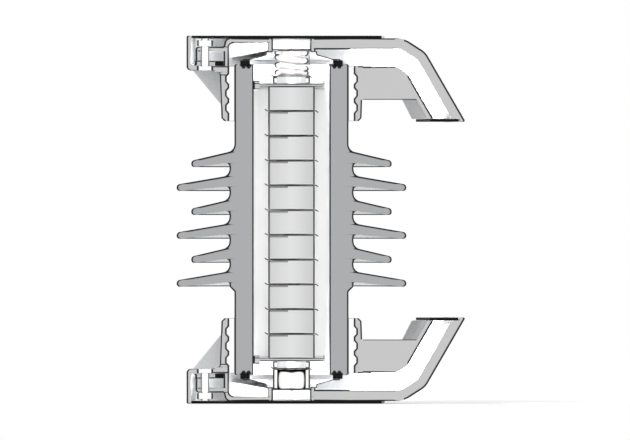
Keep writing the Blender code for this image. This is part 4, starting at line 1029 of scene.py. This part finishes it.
def build_vent_ducts(m, finish):
    c = m.castings
    wall_end = m.seat_z - GAP
    bell = plain((m.bell_r, wall_end), (m.bell_r, m.plate_in_z), (m.skirt_in_r, m.plate_in_z))
    bell += plain((m.skirt_in_r, m.face_z - GAP), (m.skirt_r - GAP, m.face_z - GAP))
    bell += [(m.skirt_r - GAP, m.nut_seat_z, c.skirt_chamfer, 3), (m.bell_r, m.nut_seat_z, SOFT_EDGE, 2)]
    bell += [(m.bell_r - c.shoulder / 4, m.bell_z, c.shoulder_round, ARC)]
    bell += [(c.lip_radius, m.bell_z, c.lip_round, ARC), *plain((c.lip_radius, m.lip_seat_z - GAP))]
    bell += plain((c.lip_radius + c.lip, m.lip_seat_z - GAP))
    bell += [(c.lip_radius + c.lip, m.bell_in_z, SOFT_EDGE, 3)]
    bell += [(m.collar_bore_r, m.bell_in_z, c.shoulder_round, ARC), *plain((m.collar_bore_r, wall_end))]
    obj = turned("lower_duct_casting", rounded(bell), LARGE_TURN)

    mouth_z = m.outlet_z + c.outlet_lip
    inner_r = m.bell_r - c.shoulder - c.bell_top
    roof = bent(roof_line(m, end_z=mouth_z), c.roof_knee, c.roof_bend)
    shell = plain((inner_r, m.bell_z + c.bell_top / 2), (m.bell_r - c.shoulder * 2 / 3, m.bell_z))
    shell += [*roof[:2], (*roof[2][:2], c.lip_round / 2, 3)]
    shell += plain(roof_line(m, c.bell_top, mouth_z)[2], roof_line(m, c.bell_top)[2])
    shell += reversed(bent(floor_line(m, -GAP), c.knee, c.knee / 2))
    shell += plain((m.pad_r + GAP + 1.5 * c.floor_drop, m.floor_z - GAP), (m.pad_r + GAP, wall_end))
    shell += plain((m.bell_r - c.bell_wall / 2, wall_end), (m.bell_r - c.bell_wall / 2, m.bell_in_z))
    shell += plain((inner_r, m.bell_in_z))
    duct = ease(sector("tool_shell", rounded(shell), c.duct_angle), EDGE, clamp=False)
    ceiling = roof_line(m, c.bell_top, mouth_z + OVERRUN)
    channel = plain((inner_r, m.bell_in_z))
    channel += bent(ceiling, c.roof_knee - c.bell_top, c.roof_bend - c.bell_top)
    channel += reversed(bent(floor_line(m, OVERRUN, mouth_z + OVERRUN), c.knee, c.knee / 2))
    channel += plain((inner_r, m.floor_z + OVERRUN))
    combine(obj, [duct], "UNION")
    combine(obj, [sector("tool_channel", rounded(channel), c.duct_angle - c.side_angle)], "DIFFERENCE")

    lip_r, mid_z = c.lip_radius + c.lip / 2, m.bell_z + c.bell_top / 2
    spine = plain((lip_r, mid_z)) + bent(roof_line(m, c.bell_top / 2), c.roof_knee, c.roof_bend)
    deep = c.bell_top + c.duct_rib_depth
    spine += reversed(bent(roof_line(m, deep), c.roof_knee - deep, c.roof_bend - deep))
    spine += plain((lip_r, m.bell_in_z + c.duct_rib_depth))
    wall_r, rib_z = m.collar_bore_r + c.bell_wall / 2, m.lip_seat_z - GAP - m.housing.sheet
    rib = [(lip_r, mid_z), (wall_r - c.shoulder / 2, mid_z), (wall_r, m.plate_in_z)]
    rib += [(wall_r, rib_z + c.rib_slope), (lip_r, rib_z)]
    ribs = [slab("tool_spine", rounded(spine), c.duct_rib, 0)]
    for degrees in RIB_TURNS:
        ribs.append(slab("tool_rib", rib, c.rib, math.radians(degrees)))
    combine(obj, ribs, "UNION")
    holes = bolt_holes(m, "tool_duct_hole", m.hole_r, m.nut_seat_z - OVERRUN, m.plate_in_z + OVERRUN)
    combine(obj, holes, "DIFFERENCE")
    both_ends(obj, "vent_duct", finish, "cast_aluminium")


def build_indication_plates(m, finish):
    c = m.castings
    outer_r = roof_line(m, c.bell_top)[2][0] - 2 * GAP
    inner_r = floor_line(m)[2][0] - c.indicator_seat
    low, high = m.outlet_z + GAP, m.outlet_z + GAP + c.indicator
    outline = [(inner_r, low), (outer_r, low), (outer_r, high), (inner_r, high)]
    obj = ease(sector("lower_indicator", outline, c.duct_angle - c.indicator_angle), FINE_EDGE)
    both_ends(obj, "indication_plate", finish, "dark_steel_sheet")


def build_flange_covers(m, finish):
    c = m.castings
    cover_r = m.rim_in_r - c.cover_play
    outline = [(0, c.cover, 0, 0), (cover_r, c.cover, SHEET_EDGE, 2)]
    outline += [(cover_r, 0, SHEET_EDGE, 2), (0, 0, 0, 0)]
    obj = turned("lower_cover_plate", rounded(outline), LARGE_TURN)
    edge, far = cover_r - c.cover_cut, cover_r + OVERRUN
    flat = [(edge, -OVERRUN), (far, -OVERRUN), (far, c.cover + OVERRUN), (edge, c.cover + OVERRUN)]
    combine(obj, [slab("tool_straight_edge", flat, 2 * far, 0)], "DIFFERENCE")
    both_ends(obj, "flange_cover", finish, "dark_steel_sheet")


def build_gaskets(m, finish):
    inner, outer = m.bell_r + GAP, m.step_r - GAP
    low, high = m.seat_z - GAP - m.castings.gasket, m.seat_z - GAP
    outline = [(outer, high), (outer, low), (inner, low), (inner, high)]
    obj = turned("lower_bay_gasket", outline, LARGE_TURN)
    combine(obj, [bay_cutter(m, "tool_gasket_bay")], "DIFFERENCE")
    both_ends(obj, "flange_gasket", finish, "black_rubber")


def build_seals(m, rubber):
    h, c = m.housing, m.castings
    inner, outer = h.ring_radius - h.ring_width / 2, h.ring_radius + h.ring_width / 2
    ring = [(outer, m.ring_base_z, 0, 0), (outer, m.ring_face_z, SMALL_EDGE, 3)]
    ring += plain((h.ring_radius + h.notch, m.ring_face_z), (h.ring_radius, m.ring_face_z + h.notch))
    ring += plain((h.ring_radius - h.notch, m.ring_face_z))
    ring += [(inner, m.ring_face_z, SMALL_EDGE, 3), (inner, m.ring_base_z, 0, 0)]
    for leg in (h.ring_radius - h.leg_spread / 2, h.ring_radius + h.leg_spread / 2):
        ring += plain((max(inner + GAP, leg - h.leg_width / 2), m.ring_base_z))
        ring += plain((leg, m.ring_base_z + h.leg_depth))
        ring += plain((min(outer - GAP, leg + h.leg_width / 2), m.ring_base_z))
    obj = turned("lower_two_leg_ring", rounded(ring), MEDIUM_TURN)
    both_ends(obj, "sealing_ring", rubber, "black_rubber")

    dome_r, ledge_r = c.lip_radius - GAP, c.lip_radius + c.lip + h.sheet
    rim_r, cone_round = h.ring_radius + h.ring_width / 4, 0.003

    def sheet(inset, lift):
        """One side of the pressed sheet, from its dimple over the dome, the ledge and the cone to its rim."""
        return [
            (0, m.centre_z + lift - h.dimple_depth, 0, 0),
            (h.dimple, m.centre_z + lift, EDGE, 2),
            (dome_r - inset, m.centre_z + lift, CAST_EDGE, 3),
            (dome_r - inset, m.lip_seat_z + lift, SMALL_EDGE, 2),
            (ledge_r + h.sheet / 2 - inset, m.lip_seat_z + lift, SMALL_EDGE, 2),
            (ledge_r + h.sheet - inset, m.cone_top_z + lift, CAST_EDGE, 3),
            (ledge_r + h.cone_run, m.cover_rim_z + lift, cone_round, 3),
            (rim_r, m.cover_rim_z + lift, 0, 0),
        ]

    outline = rounded(sheet(h.sheet, h.sheet)) + rounded(sheet(0, 0))[::-1]
    cover = turned("lower_prestressed_cover", outline, MEDIUM_TURN)
    both_ends(cover, "sealing_cover", pressed_sheet(m), "stainless_sheet")


def hexagon(m, name, low, high):
    """A nut or a bolt's head, its corners chamfered by a cone at both faces."""
    c = m.castings
    corner_r, flat_r = c.across_flats / math.sqrt(3), c.across_flats / 2
    obj = rod(name, 0, 0, corner_r, low, high, 6)
    steepness = 0.6
    slope = (corner_r - flat_r) * steepness
    cone = [(0, high, 0, 0), (flat_r, high, 0, 0), (corner_r + GAP, high - slope, 0, 0)]
    cone += [(corner_r + GAP, low + slope, 0, 0), (flat_r, low, 0, 0), (0, low, 0, 0)]
    return combine(obj, [turned("tool_chamfer", rounded(cone), SMALL_TURN)], "INTERSECT")


def build_clamp_bolts(m):
    c = m.castings
    nut_z, head_z = m.nut_seat_z - GAP, m.back_z - c.head
    shank_r, thread_depth = c.bolt / 2, 0.0006
    top = head_z + shank_r / 2
    outline = [(0, top), (shank_r, top), (shank_r, nut_z + thread_depth)]
    z = nut_z
    while z > m.bolt_end_z + thread_depth:
        outline += [(shank_r - thread_depth, z), (shank_r, z - thread_depth)]
        z -= 2 * thread_depth
    outline += [(shank_r - thread_depth, m.bolt_end_z), (0, m.bolt_end_z)]
    bolt = turned("bolt", outline, SMALL_TURN)
    tools = [hexagon(m, "tool_nut", nut_z - c.nut, nut_z), hexagon(m, "tool_head", head_z, m.back_z)]
    combine(bolt, tools, "UNION")
    finish = hot_dip_zinc(m)
    for i, turn in enumerate(bolt_turns(m), 1):
        make_active(bolt)
        bpy.ops.object.duplicate(linked=False)
        lower = bpy.context.object
        lower.name = lower.data.name = f"lower_bolt_and_nut_{i}"
        lower.rotation_euler = (0, 0, turn)
        lower.location = (m.bolt_circle_r * math.cos(turn), m.bolt_circle_r * math.sin(turn), 0)
        bpy.ops.object.transform_apply(location=True, rotation=True, scale=True)
        dress(lower, finish, "galvanised_steel", f"lower_clamp_bolt_{i}")
        upper = upper_of(lower, f"upper_bolt_and_nut_{i}")
        dress(upper, finish, "galvanised_steel", f"upper_clamp_bolt_{i}")
    bpy.data.objects.remove(bolt)


def build_blocks(m):
    s = m.stack
    finish = metal_oxide(m)
    for i in range(s.blocks):
        low = m.first_block_z + i * m.pitch
        high = low + s.height
        outline = [(0, high, 0, 0), (s.radius, high, s.bevel, 3), (s.radius, low, s.bevel, 3), (0, low, 0, 0)]
        block = turned(f"oxide_block_{i + 1:02d}", rounded(outline), MEDIUM_TURN)
        dress(block, finish, "zinc_oxide", f"varistor_block_{i + 1:02d}")


def build_end_fittings(m):
    s = m.stack
    inner = s.ring_radius - s.ring_wall
    top_ring = HEIGHT - m.top_ring_z - s.ring_height
    boxes = [(-s.ring_radius, s.ring_radius, low, low + s.ring_height) for low in (m.base_ring_z, top_ring)]
    boxes.append((-s.ring_radius, s.ring_radius, m.tube_z, m.tube_z + s.tube_height))
    finish = machined_aluminium(m, "turned_aluminium_ring", m.looks.cut_white, boxes)
    rings = (("desiccant_tube", m.tube_z, s.tube_height), ("base_ring", m.base_ring_z, s.ring_height),
             ("spring_seat_ring", m.top_ring_z, s.ring_height))
    for node, low, height in rings:
        ends = [(s.ring_radius, low + height), (s.ring_radius, low), (inner, low), (inner, low + height)]
        ring = turned(node + "_turned", rounded([(r, z, TURNED_EDGE, 1) for r, z in ends]), MEDIUM_TURN)
        dress(ring, finish, "aluminium", node)
    plate_r = m.housing.bore - s.plate_play
    rim_in, half_rim = plate_r - s.flat_cut + s.rim_width / 2, (s.rim_height - s.web) / 2
    boxes = []
    for web_low in (m.base_plate_z, HEIGHT - m.top_plate_z - s.web):
        boxes.append((-plate_r, plate_r, web_low - half_rim, web_low + s.web + half_rim))
        boxes.append((-rim_in, rim_in, web_low, web_low + s.web))
    finish = machined_aluminium(m, "turned_aluminium_plate", m.looks.cut_plate, boxes)
    for node, web_z in (("lower_end_plate", m.base_plate_z), ("upper_end_plate", m.top_plate_z)):
        low = web_z - (s.rim_height - s.web) / 2
        high, top = low + s.rim_height, web_z + s.web
        outline = plain((0, top), (rim_in, top)) + [(rim_in, high, FINE_EDGE, 2), (plate_r, high, EDGE, 3)]
        outline += [(plate_r, low, EDGE, 3), (rim_in, low, FINE_EDGE, 2), *plain((rim_in, web_z), (0, web_z))]
        plate = turned(node + "_turned", rounded(outline), MEDIUM_TURN)
        edge, far = plate_r - s.flat_cut + s.rim_width, plate_r + OVERRUN
        flat = [(edge, low - OVERRUN), (far, low - OVERRUN), (far, high + OVERRUN), (edge, high + OVERRUN)]
        turns = [i * 2 * math.pi / s.flats for i in range(s.flats)]
        combine(plate, [slab("tool_flat", flat, plate_r, turn) for turn in turns], "DIFFERENCE")
        dress(plate, finish, "aluminium", node)


def build_spring(m):
    """A round wire coiled past both ends and cut flat to its working length, as if ground."""
    s = m.stack
    turns = round(s.spring / s.spring_pitch) + 1
    count = turns * COIL_STEPS
    curve = bpy.data.curves.new("coil", "CURVE")
    curve.dimensions = "3D"
    curve.bevel_depth = s.wire / 2
    curve.bevel_resolution = 6
    curve.use_fill_caps = True
    line = curve.splines.new("POLY")
    line.points.add(count)
    rise = (s.spring - s.wire / 2) / 2
    for i, point in enumerate(line.points):
        share = i / count - 0.5
        turn = 2 * math.pi * turns * share - math.pi / 2
        lift = max(-rise, min(rise, share * turns * s.spring_pitch))
        place = (s.spring_radius * math.cos(turn), s.spring_radius * math.sin(turn))
        point.co = (*place, m.spring_z + s.spring / 2 + lift, 1)
    wire = bpy.data.objects.new("ground_spring", curve)
    bpy.context.scene.collection.objects.link(wire)
    make_active(wire)
    bpy.ops.object.convert(target="MESH")
    obj = bpy.context.object
    bpy.ops.object.mode_set(mode="EDIT")
    bpy.ops.mesh.select_all(action="SELECT")
    bpy.ops.mesh.remove_doubles(threshold=MERGE)
    for z, outer in ((m.spring_z, False), (m.spring_z + s.spring, True)):
        bpy.ops.mesh.select_all(action="SELECT")
        bpy.ops.mesh.bisect(
            plane_co=(0, 0, z), plane_no=(0, 0, 1), use_fill=True, clear_outer=outer, clear_inner=not outer
        )
    close_up(obj, "ground_spring")
    dress(obj, drawn_wire(m), "spring_steel", "pressure_spring")


def build_bag(m):
    """A soft round bag: a pinched pillow with a crimped seam, wrinkled where it fills the tube."""
    s = m.stack
    radius = s.ring_radius - s.ring_wall - s.bag_play
    low, high = m.tube_z + GAP, m.tube_z + s.tube_height - s.bag_head_room
    middle, seam = (low + high) / 2, 0.0006
    top_pinch, foot_pinch = 0.0015, 0.0005
    flat_r, full_r, flat_round, full_round = radius * 0.5, radius * 0.95, 0.004, 0.005
    folds, fold_depth = 9, 0.03
    outline = [(0, high - top_pinch, 0, 0), (flat_r, high, flat_round, 4), (full_r, high, full_round, 4)]
    outline += plain((radius, middle + seam), (radius, middle - seam))
    outline += [(full_r, low, full_round, 4), (flat_r, low, flat_round, 4), (0, low + foot_pinch, 0, 0)]
    obj = turned("tied_desiccant_bag", rounded(outline), SMALL_TURN)
    for vertex in obj.data.vertices:
        x, y, z = vertex.co
        fold = math.sin(folds * math.atan2(y, x)) * math.sin((z - low) / (high - low) * math.pi)
        share = 1 - fold_depth * (1 + fold) * math.hypot(x, y) / radius
        vertex.co = (x * share, y * share, z)
    make_active(obj)
    soften = obj.modifiers.new("Soften", "SUBSURF")
    soften.levels = soften.render_levels = 1
    bpy.ops.object.modifier_apply(modifier=soften.name)
    dress(obj, bag_cloth(m), "bag_cloth", "desiccant_bag", smooth=CLOTH_ANGLE)


def dress_sheets(m, finish):
    """The thin bent sheets keep their nodes of the frame, which already have the real shape."""
    names = [f"spacer_sheet_{i:02d}" for i in range(1, m.stack.blocks)]
    for name in names + ["base_contact_sheet", "spring_contact_sheet"]:
        node = bpy.data.objects[name]
        node.data.materials.clear()
        node.data.materials.append(finish)
    strip = bpy.data.objects["copper_sheet"]
    strip.data.materials.clear()
    strip.data.materials.append(rolled_copper(m))


def lamp(name, place, aim, size, power, height=None):
    """A plain soft area lamp at place, facing aim."""
    light = bpy.data.lights.new(name, "AREA")
    light.shape = "RECTANGLE"
    light.size = size
    light.size_y = height or size
    light.energy = power
    obj = bpy.data.objects.new(name, light)
    obj.location = place
    obj.rotation_euler = (Vector(aim) - Vector(place)).to_track_quat("-Z", "Y").to_euler()
    bpy.context.scene.collection.objects.link(obj)


def inner_lamp(name, x, z, width, height, power, depth):
    """A lamp in a sealed space, depth in front of the section plane, facing the far half."""
    lamp(name, (x, -depth, z), (x, 0, z), width, power, height)


def build_camera(stage):
    """A long lens, square on to the plane through both ducts. Its near limit lies in that plane."""
    data = bpy.data.cameras.new("section_camera")
    data.sensor_width = stage.sensor
    data.lens = stage.lens
    distance = stage.frame_width * data.lens / data.sensor_width
    data.clip_start = distance + GAP / 6
    data.clip_end = 2 * distance
    camera = bpy.data.objects.new("section_camera", data)
    camera.location = (stage.aim_x, -distance, stage.aim_z)
    camera.rotation_euler = (math.pi / 2, 0, 0)
    bpy.context.scene.collection.objects.link(camera)
    bpy.context.scene.camera = camera


def build_floor(stage):
    """A plain pale floor that the camera sees as white, apart from the object's shadow."""
    deselect()
    bpy.ops.mesh.primitive_plane_add(size=stage.floor, location=(0, 0, -GAP))
    bpy.ops.object.transform_apply(location=True)
    floor = bpy.context.object
    floor.name = "floor"
    material = bpy.data.materials.new("pale_floor")
    material.use_nodes = True
    tree = material.node_tree
    shader = tree.nodes["Principled BSDF"]
    shader.inputs["Base Color"].default_value = (FLOOR_GREY, FLOOR_GREY, FLOOR_GREY, 1)
    shader.inputs["Roughness"].default_value = FLOOR_ROUGHNESS
    path = tree.nodes.new("ShaderNodeLightPath")
    strength = tree.nodes.new("ShaderNodeMath")
    strength.operation = "MULTIPLY"
    strength.inputs[1].default_value = FLOOR_GLOW
    tree.links.new(path.outputs["Is Camera Ray"], strength.inputs[0])
    tree.links.new(strength.outputs[0], shader.inputs["Emission Strength"])
    shader.inputs["Emission Color"].default_value = (1, 1, 1, 1)
    floor.data.materials.append(material)


def build_world(level):
    """White behind the object and in its reflections, and an even light of this level on its surfaces."""
    world = bpy.data.worlds.new("studio")
    bpy.context.scene.world = world
    world.use_nodes = True
    tree = world.node_tree
    back = tree.nodes["Background"]
    path = tree.nodes.new("ShaderNodeLightPath")
    seen = path.outputs["Is Camera Ray"]
    for output in ("Is Glossy Ray", "Is Transmission Ray"):
        either = tree.nodes.new("ShaderNodeMath")
        either.operation = "MAXIMUM"
        tree.links.new(seen, either.inputs[0])
        tree.links.new(path.outputs[output], either.inputs[1])
        seen = either.outputs[0]
    strength = tree.nodes.new("ShaderNodeMapRange")
    strength.inputs["To Min"].default_value = level
    strength.inputs["To Max"].default_value = 1.0
    tree.links.new(seen, strength.inputs["Value"])
    tree.links.new(strength.outputs[0], back.inputs["Strength"])
    back.inputs["Color"].default_value = (1, 1, 1, 1)


def build_inner_lamps(m):
    """Small lamps in the sealed spaces, all in front of the plane that the sectional view cuts."""
    h, c, s = m.housing, m.castings, m.stack
    low, high = m.first_block_z + s.rim_height, m.top_plate_z - s.rim_height
    gap_x = (s.radius + h.bore) / 2
    chamber_z = (m.base_plate_z + m.cover_rim_z) / 2
    bore_end_z = m.first_block_z + 0.010
    bell_x, bell_z = (c.lip_radius + m.collar_bore_r) / 2, (m.bell_in_z + m.lip_seat_z) / 2
    rib_z = m.porcelain_z - 0.004
    nut_x, nut_z = -(m.bell_r + m.step_r) / 2, (c.cover + m.nut_seat_z) / 2
    pocket_z = (m.plate_in_z + m.face_z) / 2
    groove_x, groove_z = -(m.skirt_r + m.rim_in_r) / 2, (c.cover + m.seat_z) / 2
    duct_x, duct_width = (c.lip_radius + m.rim_r) / 2, m.rim_r - c.lip_radius
    duct_z = (m.bell_in_z + m.floor_z) / 2
    roof, floor = roof_line(m, c.bell_top), floor_line(m)
    leg = [Vector(a).lerp(Vector(b), 0.5) for a, b in zip(roof, floor)]
    # Name, x, z, width, height, power in watts, and distance in front of the section plane
    single_lamps = (
        ("bore_lamp", -gap_x, (low + high) / 2, 0.005, high - low, 0.100, LAMP_DEPTH),
        ("bore_lamp", gap_x, (low + high) / 2, 0.005, high - low, 0.100, LAMP_DEPTH),
        ("spring_lamp", 0, m.spring_z + s.spring / 2, 0.012, s.spring, 0.010, 0.006),
        ("spring_seat_lamp", 0, m.top_ring_z + s.ring_height / 2, 0.020, 0.005, 0.006, 0.008),
        ("base_ring_lamp", 0, m.base_ring_z + s.ring_height / 2, 0.020, 0.005, 0.006, 0.008),
    )
    for row in single_lamps:
        inner_lamp(*row)
    lamps_of_an_end = (
        ("chamber_lamp", -gap_x, chamber_z, 0.006, 0.012, 0.065, LAMP_DEPTH),
        ("chamber_lamp", gap_x, chamber_z, 0.006, 0.012, 0.065, LAMP_DEPTH),
        ("bore_end_lamp", -gap_x, bore_end_z, 0.005, 0.016, 0.008, LAMP_DEPTH),
        ("bore_end_lamp", gap_x, bore_end_z, 0.005, 0.016, 0.008, LAMP_DEPTH),
        ("bell_lamp", -bell_x, bell_z, 0.040, 0.006, 0.045, LAMP_DEPTH),
        ("bell_lamp", bell_x, bell_z + 0.003, 0.040, 0.006, 0.030, LAMP_DEPTH),
        ("rib_lamp", -h.ring_radius, rib_z, 0.030, 0.003, 0.030, LAMP_DEPTH),
        ("cover_lamp", 0, (c.cover + m.centre_z) / 2, 0.030, 0.005, 0.020, 0.010),
        ("nut_lamp", nut_x, nut_z, 0.006, 0.004, 0.09, LAMP_DEPTH),
        ("pocket_lamp", nut_x, pocket_z, 0.008, 0.005, 0.08, LAMP_DEPTH),
        ("groove_lamp", groove_x, groove_z, 0.003, 0.016, 0.05, 0.010),
        ("duct_lamp", duct_x, duct_z, duct_width, 0.006, 0.08, LAMP_DEPTH),
        ("duct_lamp", *leg[0], 0.012, 0.012, 0.02, LAMP_DEPTH),
        ("duct_lamp", *leg[1], 0.012, 0.012, 0.04, LAMP_DEPTH),
        ("duct_lamp", *leg[1].lerp(leg[2], 0.35), 0.012, 0.012, 0.09, LAMP_DEPTH),
        ("duct_lamp", *leg[1].lerp(leg[2], 0.70), 0.012, 0.012, 0.13, LAMP_DEPTH),
    )
    for name, x, z, *rest in lamps_of_an_end:
        inner_lamp("lower_" + name, x, z, *rest)
        inner_lamp("upper_" + name, x, HEIGHT - z, *rest)


def build_lights(stage):
    """One broad sun, and three lamps further off that all face the middle of the housing."""
    data = bpy.data.lights.new("key_sun", "SUN")
    data.energy, data.angle = stage.key, SUN_WIDTH
    sun = bpy.data.objects.new("key_sun", data)
    sun.rotation_euler = Vector(SUN_WAY).to_track_quat("-Z", "Y").to_euler()
    bpy.context.scene.collection.objects.link(sun)
    lamps = (
        ("fill_lamp", (1.5, -1.0, 0.9), 1.4, stage.fill),
        ("side_lamp", (-2.1, -0.6, MIDDLE), 1.0, stage.side),
        ("back_lamp", (0.4, 1.6, 1.3), 1.2, stage.fill),
    )
    for name, place, size, power in lamps:
        lamp(name, place, (0, 0, MIDDLE), size, power)


class ArresterStage(bpy.types.PropertyGroup):
    """Camera, floor and light."""

    frame_width: length("Frame width", 0.7875, "Width that the camera takes in at the housing's axis")
    aim_x: length("Aim X", 0.0294, "Place of the frame's centre beside the housing's axis")
    aim_z: length("Aim Z", 0.2295, "Height of the frame's centre")
    lens: FloatProperty(name="Lens", description="Focal length in millimetres", default=1000.0, min=50.0)
    sensor: FloatProperty(name="Sensor", description="Sensor width in millimetres", default=36.0, min=10.0)
    floor: length("Floor", 8.0, "Width of the floor")
    world: FloatProperty(name="World", description="Strength of the even light", default=0.62, min=0.0)
    key: FloatProperty(name="Key", description="Strength of the key light", default=1.15, min=0.0)
    side: FloatProperty(name="Side lamp", description="Power of the side lamp in watts", default=5.0, min=0.0)
    fill: FloatProperty(name="Fill lamp", description="Power of the fill lamp in watts", default=3.5, min=0.0)


class ARRESTER_OT_stage(bpy.types.Operator):
    """Set up the camera, the floor and the lights"""

    bl_idname = "arrester.stage"
    bl_label = "Stage"

    def execute(self, context):
        stage = context.scene.arrester_stage
        context.scene.view_settings.view_transform = "Standard"
        build_camera(stage)
        build_floor(stage)
        build_world(stage.world)
        build_lights(stage)
        build_inner_lamps(measures())
        return {"FINISHED"}


class ARRESTER_OT_porcelain(bpy.types.Operator):
    """Turn the porcelain housing with its sheds"""

    bl_idname = "arrester.porcelain"
    bl_label = "Porcelain housing"

    def execute(self, context):
        build_porcelain(measures())
        return {"FINISHED"}


class ARRESTER_OT_cement(bpy.types.Operator):
    """Fill the joints between porcelain and collars"""

    bl_idname = "arrester.cement"
    bl_label = "Cement joints"

    def execute(self, context):
        build_cement(measures())
        return {"FINISHED"}


class ARRESTER_OT_castings(bpy.types.Operator):
    """Make the flange castings and the duct castings of both ends"""

    bl_idname = "arrester.castings"
    bl_label = "Flange and duct castings"

    def execute(self, context):
        m = measures()
        finish = cast_aluminium(m)
        build_flanges(m, finish)
        build_vent_ducts(m, finish)
        return {"FINISHED"}


class ARRESTER_OT_plates(bpy.types.Operator):
    """Make the flange covers and the indication plates, and give the bent sheets of the stack their finish"""

    bl_idname = "arrester.plates"
    bl_label = "Covers, plates and sheets"

    def execute(self, context):
        m = measures()
        finish = dark_sheet(m)
        build_flange_covers(m, finish)
        build_indication_plates(m, finish)
        dress_sheets(m, finish)
        return {"FINISHED"}


class ARRESTER_OT_seals(bpy.types.Operator):
    """Make the gaskets, the sealing rings and the pre-stressed sealing covers"""

    bl_idname = "arrester.seals"
    bl_label = "Seals"

    def execute(self, context):
        m = measures()
        rubber = moulded_rubber(m)
        build_gaskets(m, rubber)
        build_seals(m, rubber)
        return {"FINISHED"}


class ARRESTER_OT_bolts(bpy.types.Operator):
    """Make the clamp bolts with their nuts"""

    bl_idname = "arrester.bolts"
    bl_label = "Clamp bolts"

    def execute(self, context):
        build_clamp_bolts(measures())
        return {"FINISHED"}


class ARRESTER_OT_blocks(bpy.types.Operator):
    """Stack the metal-oxide blocks"""

    bl_idname = "arrester.blocks"
    bl_label = "Metal-oxide blocks"

    def execute(self, context):
        build_blocks(measures())
        return {"FINISHED"}


class ARRESTER_OT_fittings(bpy.types.Operator):
    """Make the end plates, seat rings, tube and spring that clamp the stack"""

    bl_idname = "arrester.fittings"
    bl_label = "End fittings and spring"

    def execute(self, context):
        m = measures()
        build_end_fittings(m)
        build_spring(m)
        return {"FINISHED"}


class ARRESTER_OT_bag(bpy.types.Operator):
    """Make the desiccant bag"""

    bl_idname = "arrester.bag"
    bl_label = "Desiccant bag"

    def execute(self, context):
        build_bag(measures())
        return {"FINISHED"}


STEPS = (
    ARRESTER_OT_stage, ARRESTER_OT_porcelain, ARRESTER_OT_cement, ARRESTER_OT_castings, ARRESTER_OT_plates,
    ARRESTER_OT_seals, ARRESTER_OT_bolts, ARRESTER_OT_blocks, ARRESTER_OT_fittings, ARRESTER_OT_bag,
)


class ARRESTER_PT_panel(bpy.types.Panel):
    """The sizes, the colours and the steps of the arrester"""

    bl_label = "Surge arrester"
    bl_idname = "ARRESTER_PT_panel"
    bl_space_type = "VIEW_3D"
    bl_region_type = "UI"
    bl_category = "Arrester"

    def draw(self, context):
        for step in STEPS:
            self.layout.operator(step.bl_idname, text=step.bl_label)
        for name in GROUPS:
            box = self.layout.box()
            box.label(text=name.replace("_", " ").title())
            group = getattr(context.scene, name)
            for field in group.__annotations__:
                box.prop(group, field)


GROUPS = {
    "arrester_housing": ArresterHousing,
    "arrester_castings": ArresterCastings,
    "arrester_stack": ArresterStack,
    "arrester_looks": ArresterLooks,
    "arrester_stage": ArresterStage,
}
CLASSES = (*GROUPS.values(), *STEPS, ARRESTER_PT_panel)


def register():
    for cls in CLASSES:
        bpy.utils.register_class(cls)
    for name, group in GROUPS.items():
        setattr(bpy.types.Scene, name, PointerProperty(type=group))


def unregister():
    for name in GROUPS:
        delattr(bpy.types.Scene, name)
    for cls in reversed(CLASSES):
        bpy.utils.unregister_class(cls)


def main():
    register()
    for step in STEPS:
        group, name = step.bl_idname.split(".")
        getattr(getattr(bpy.ops, group), name)()


if __name__ == "__main__":
    main()
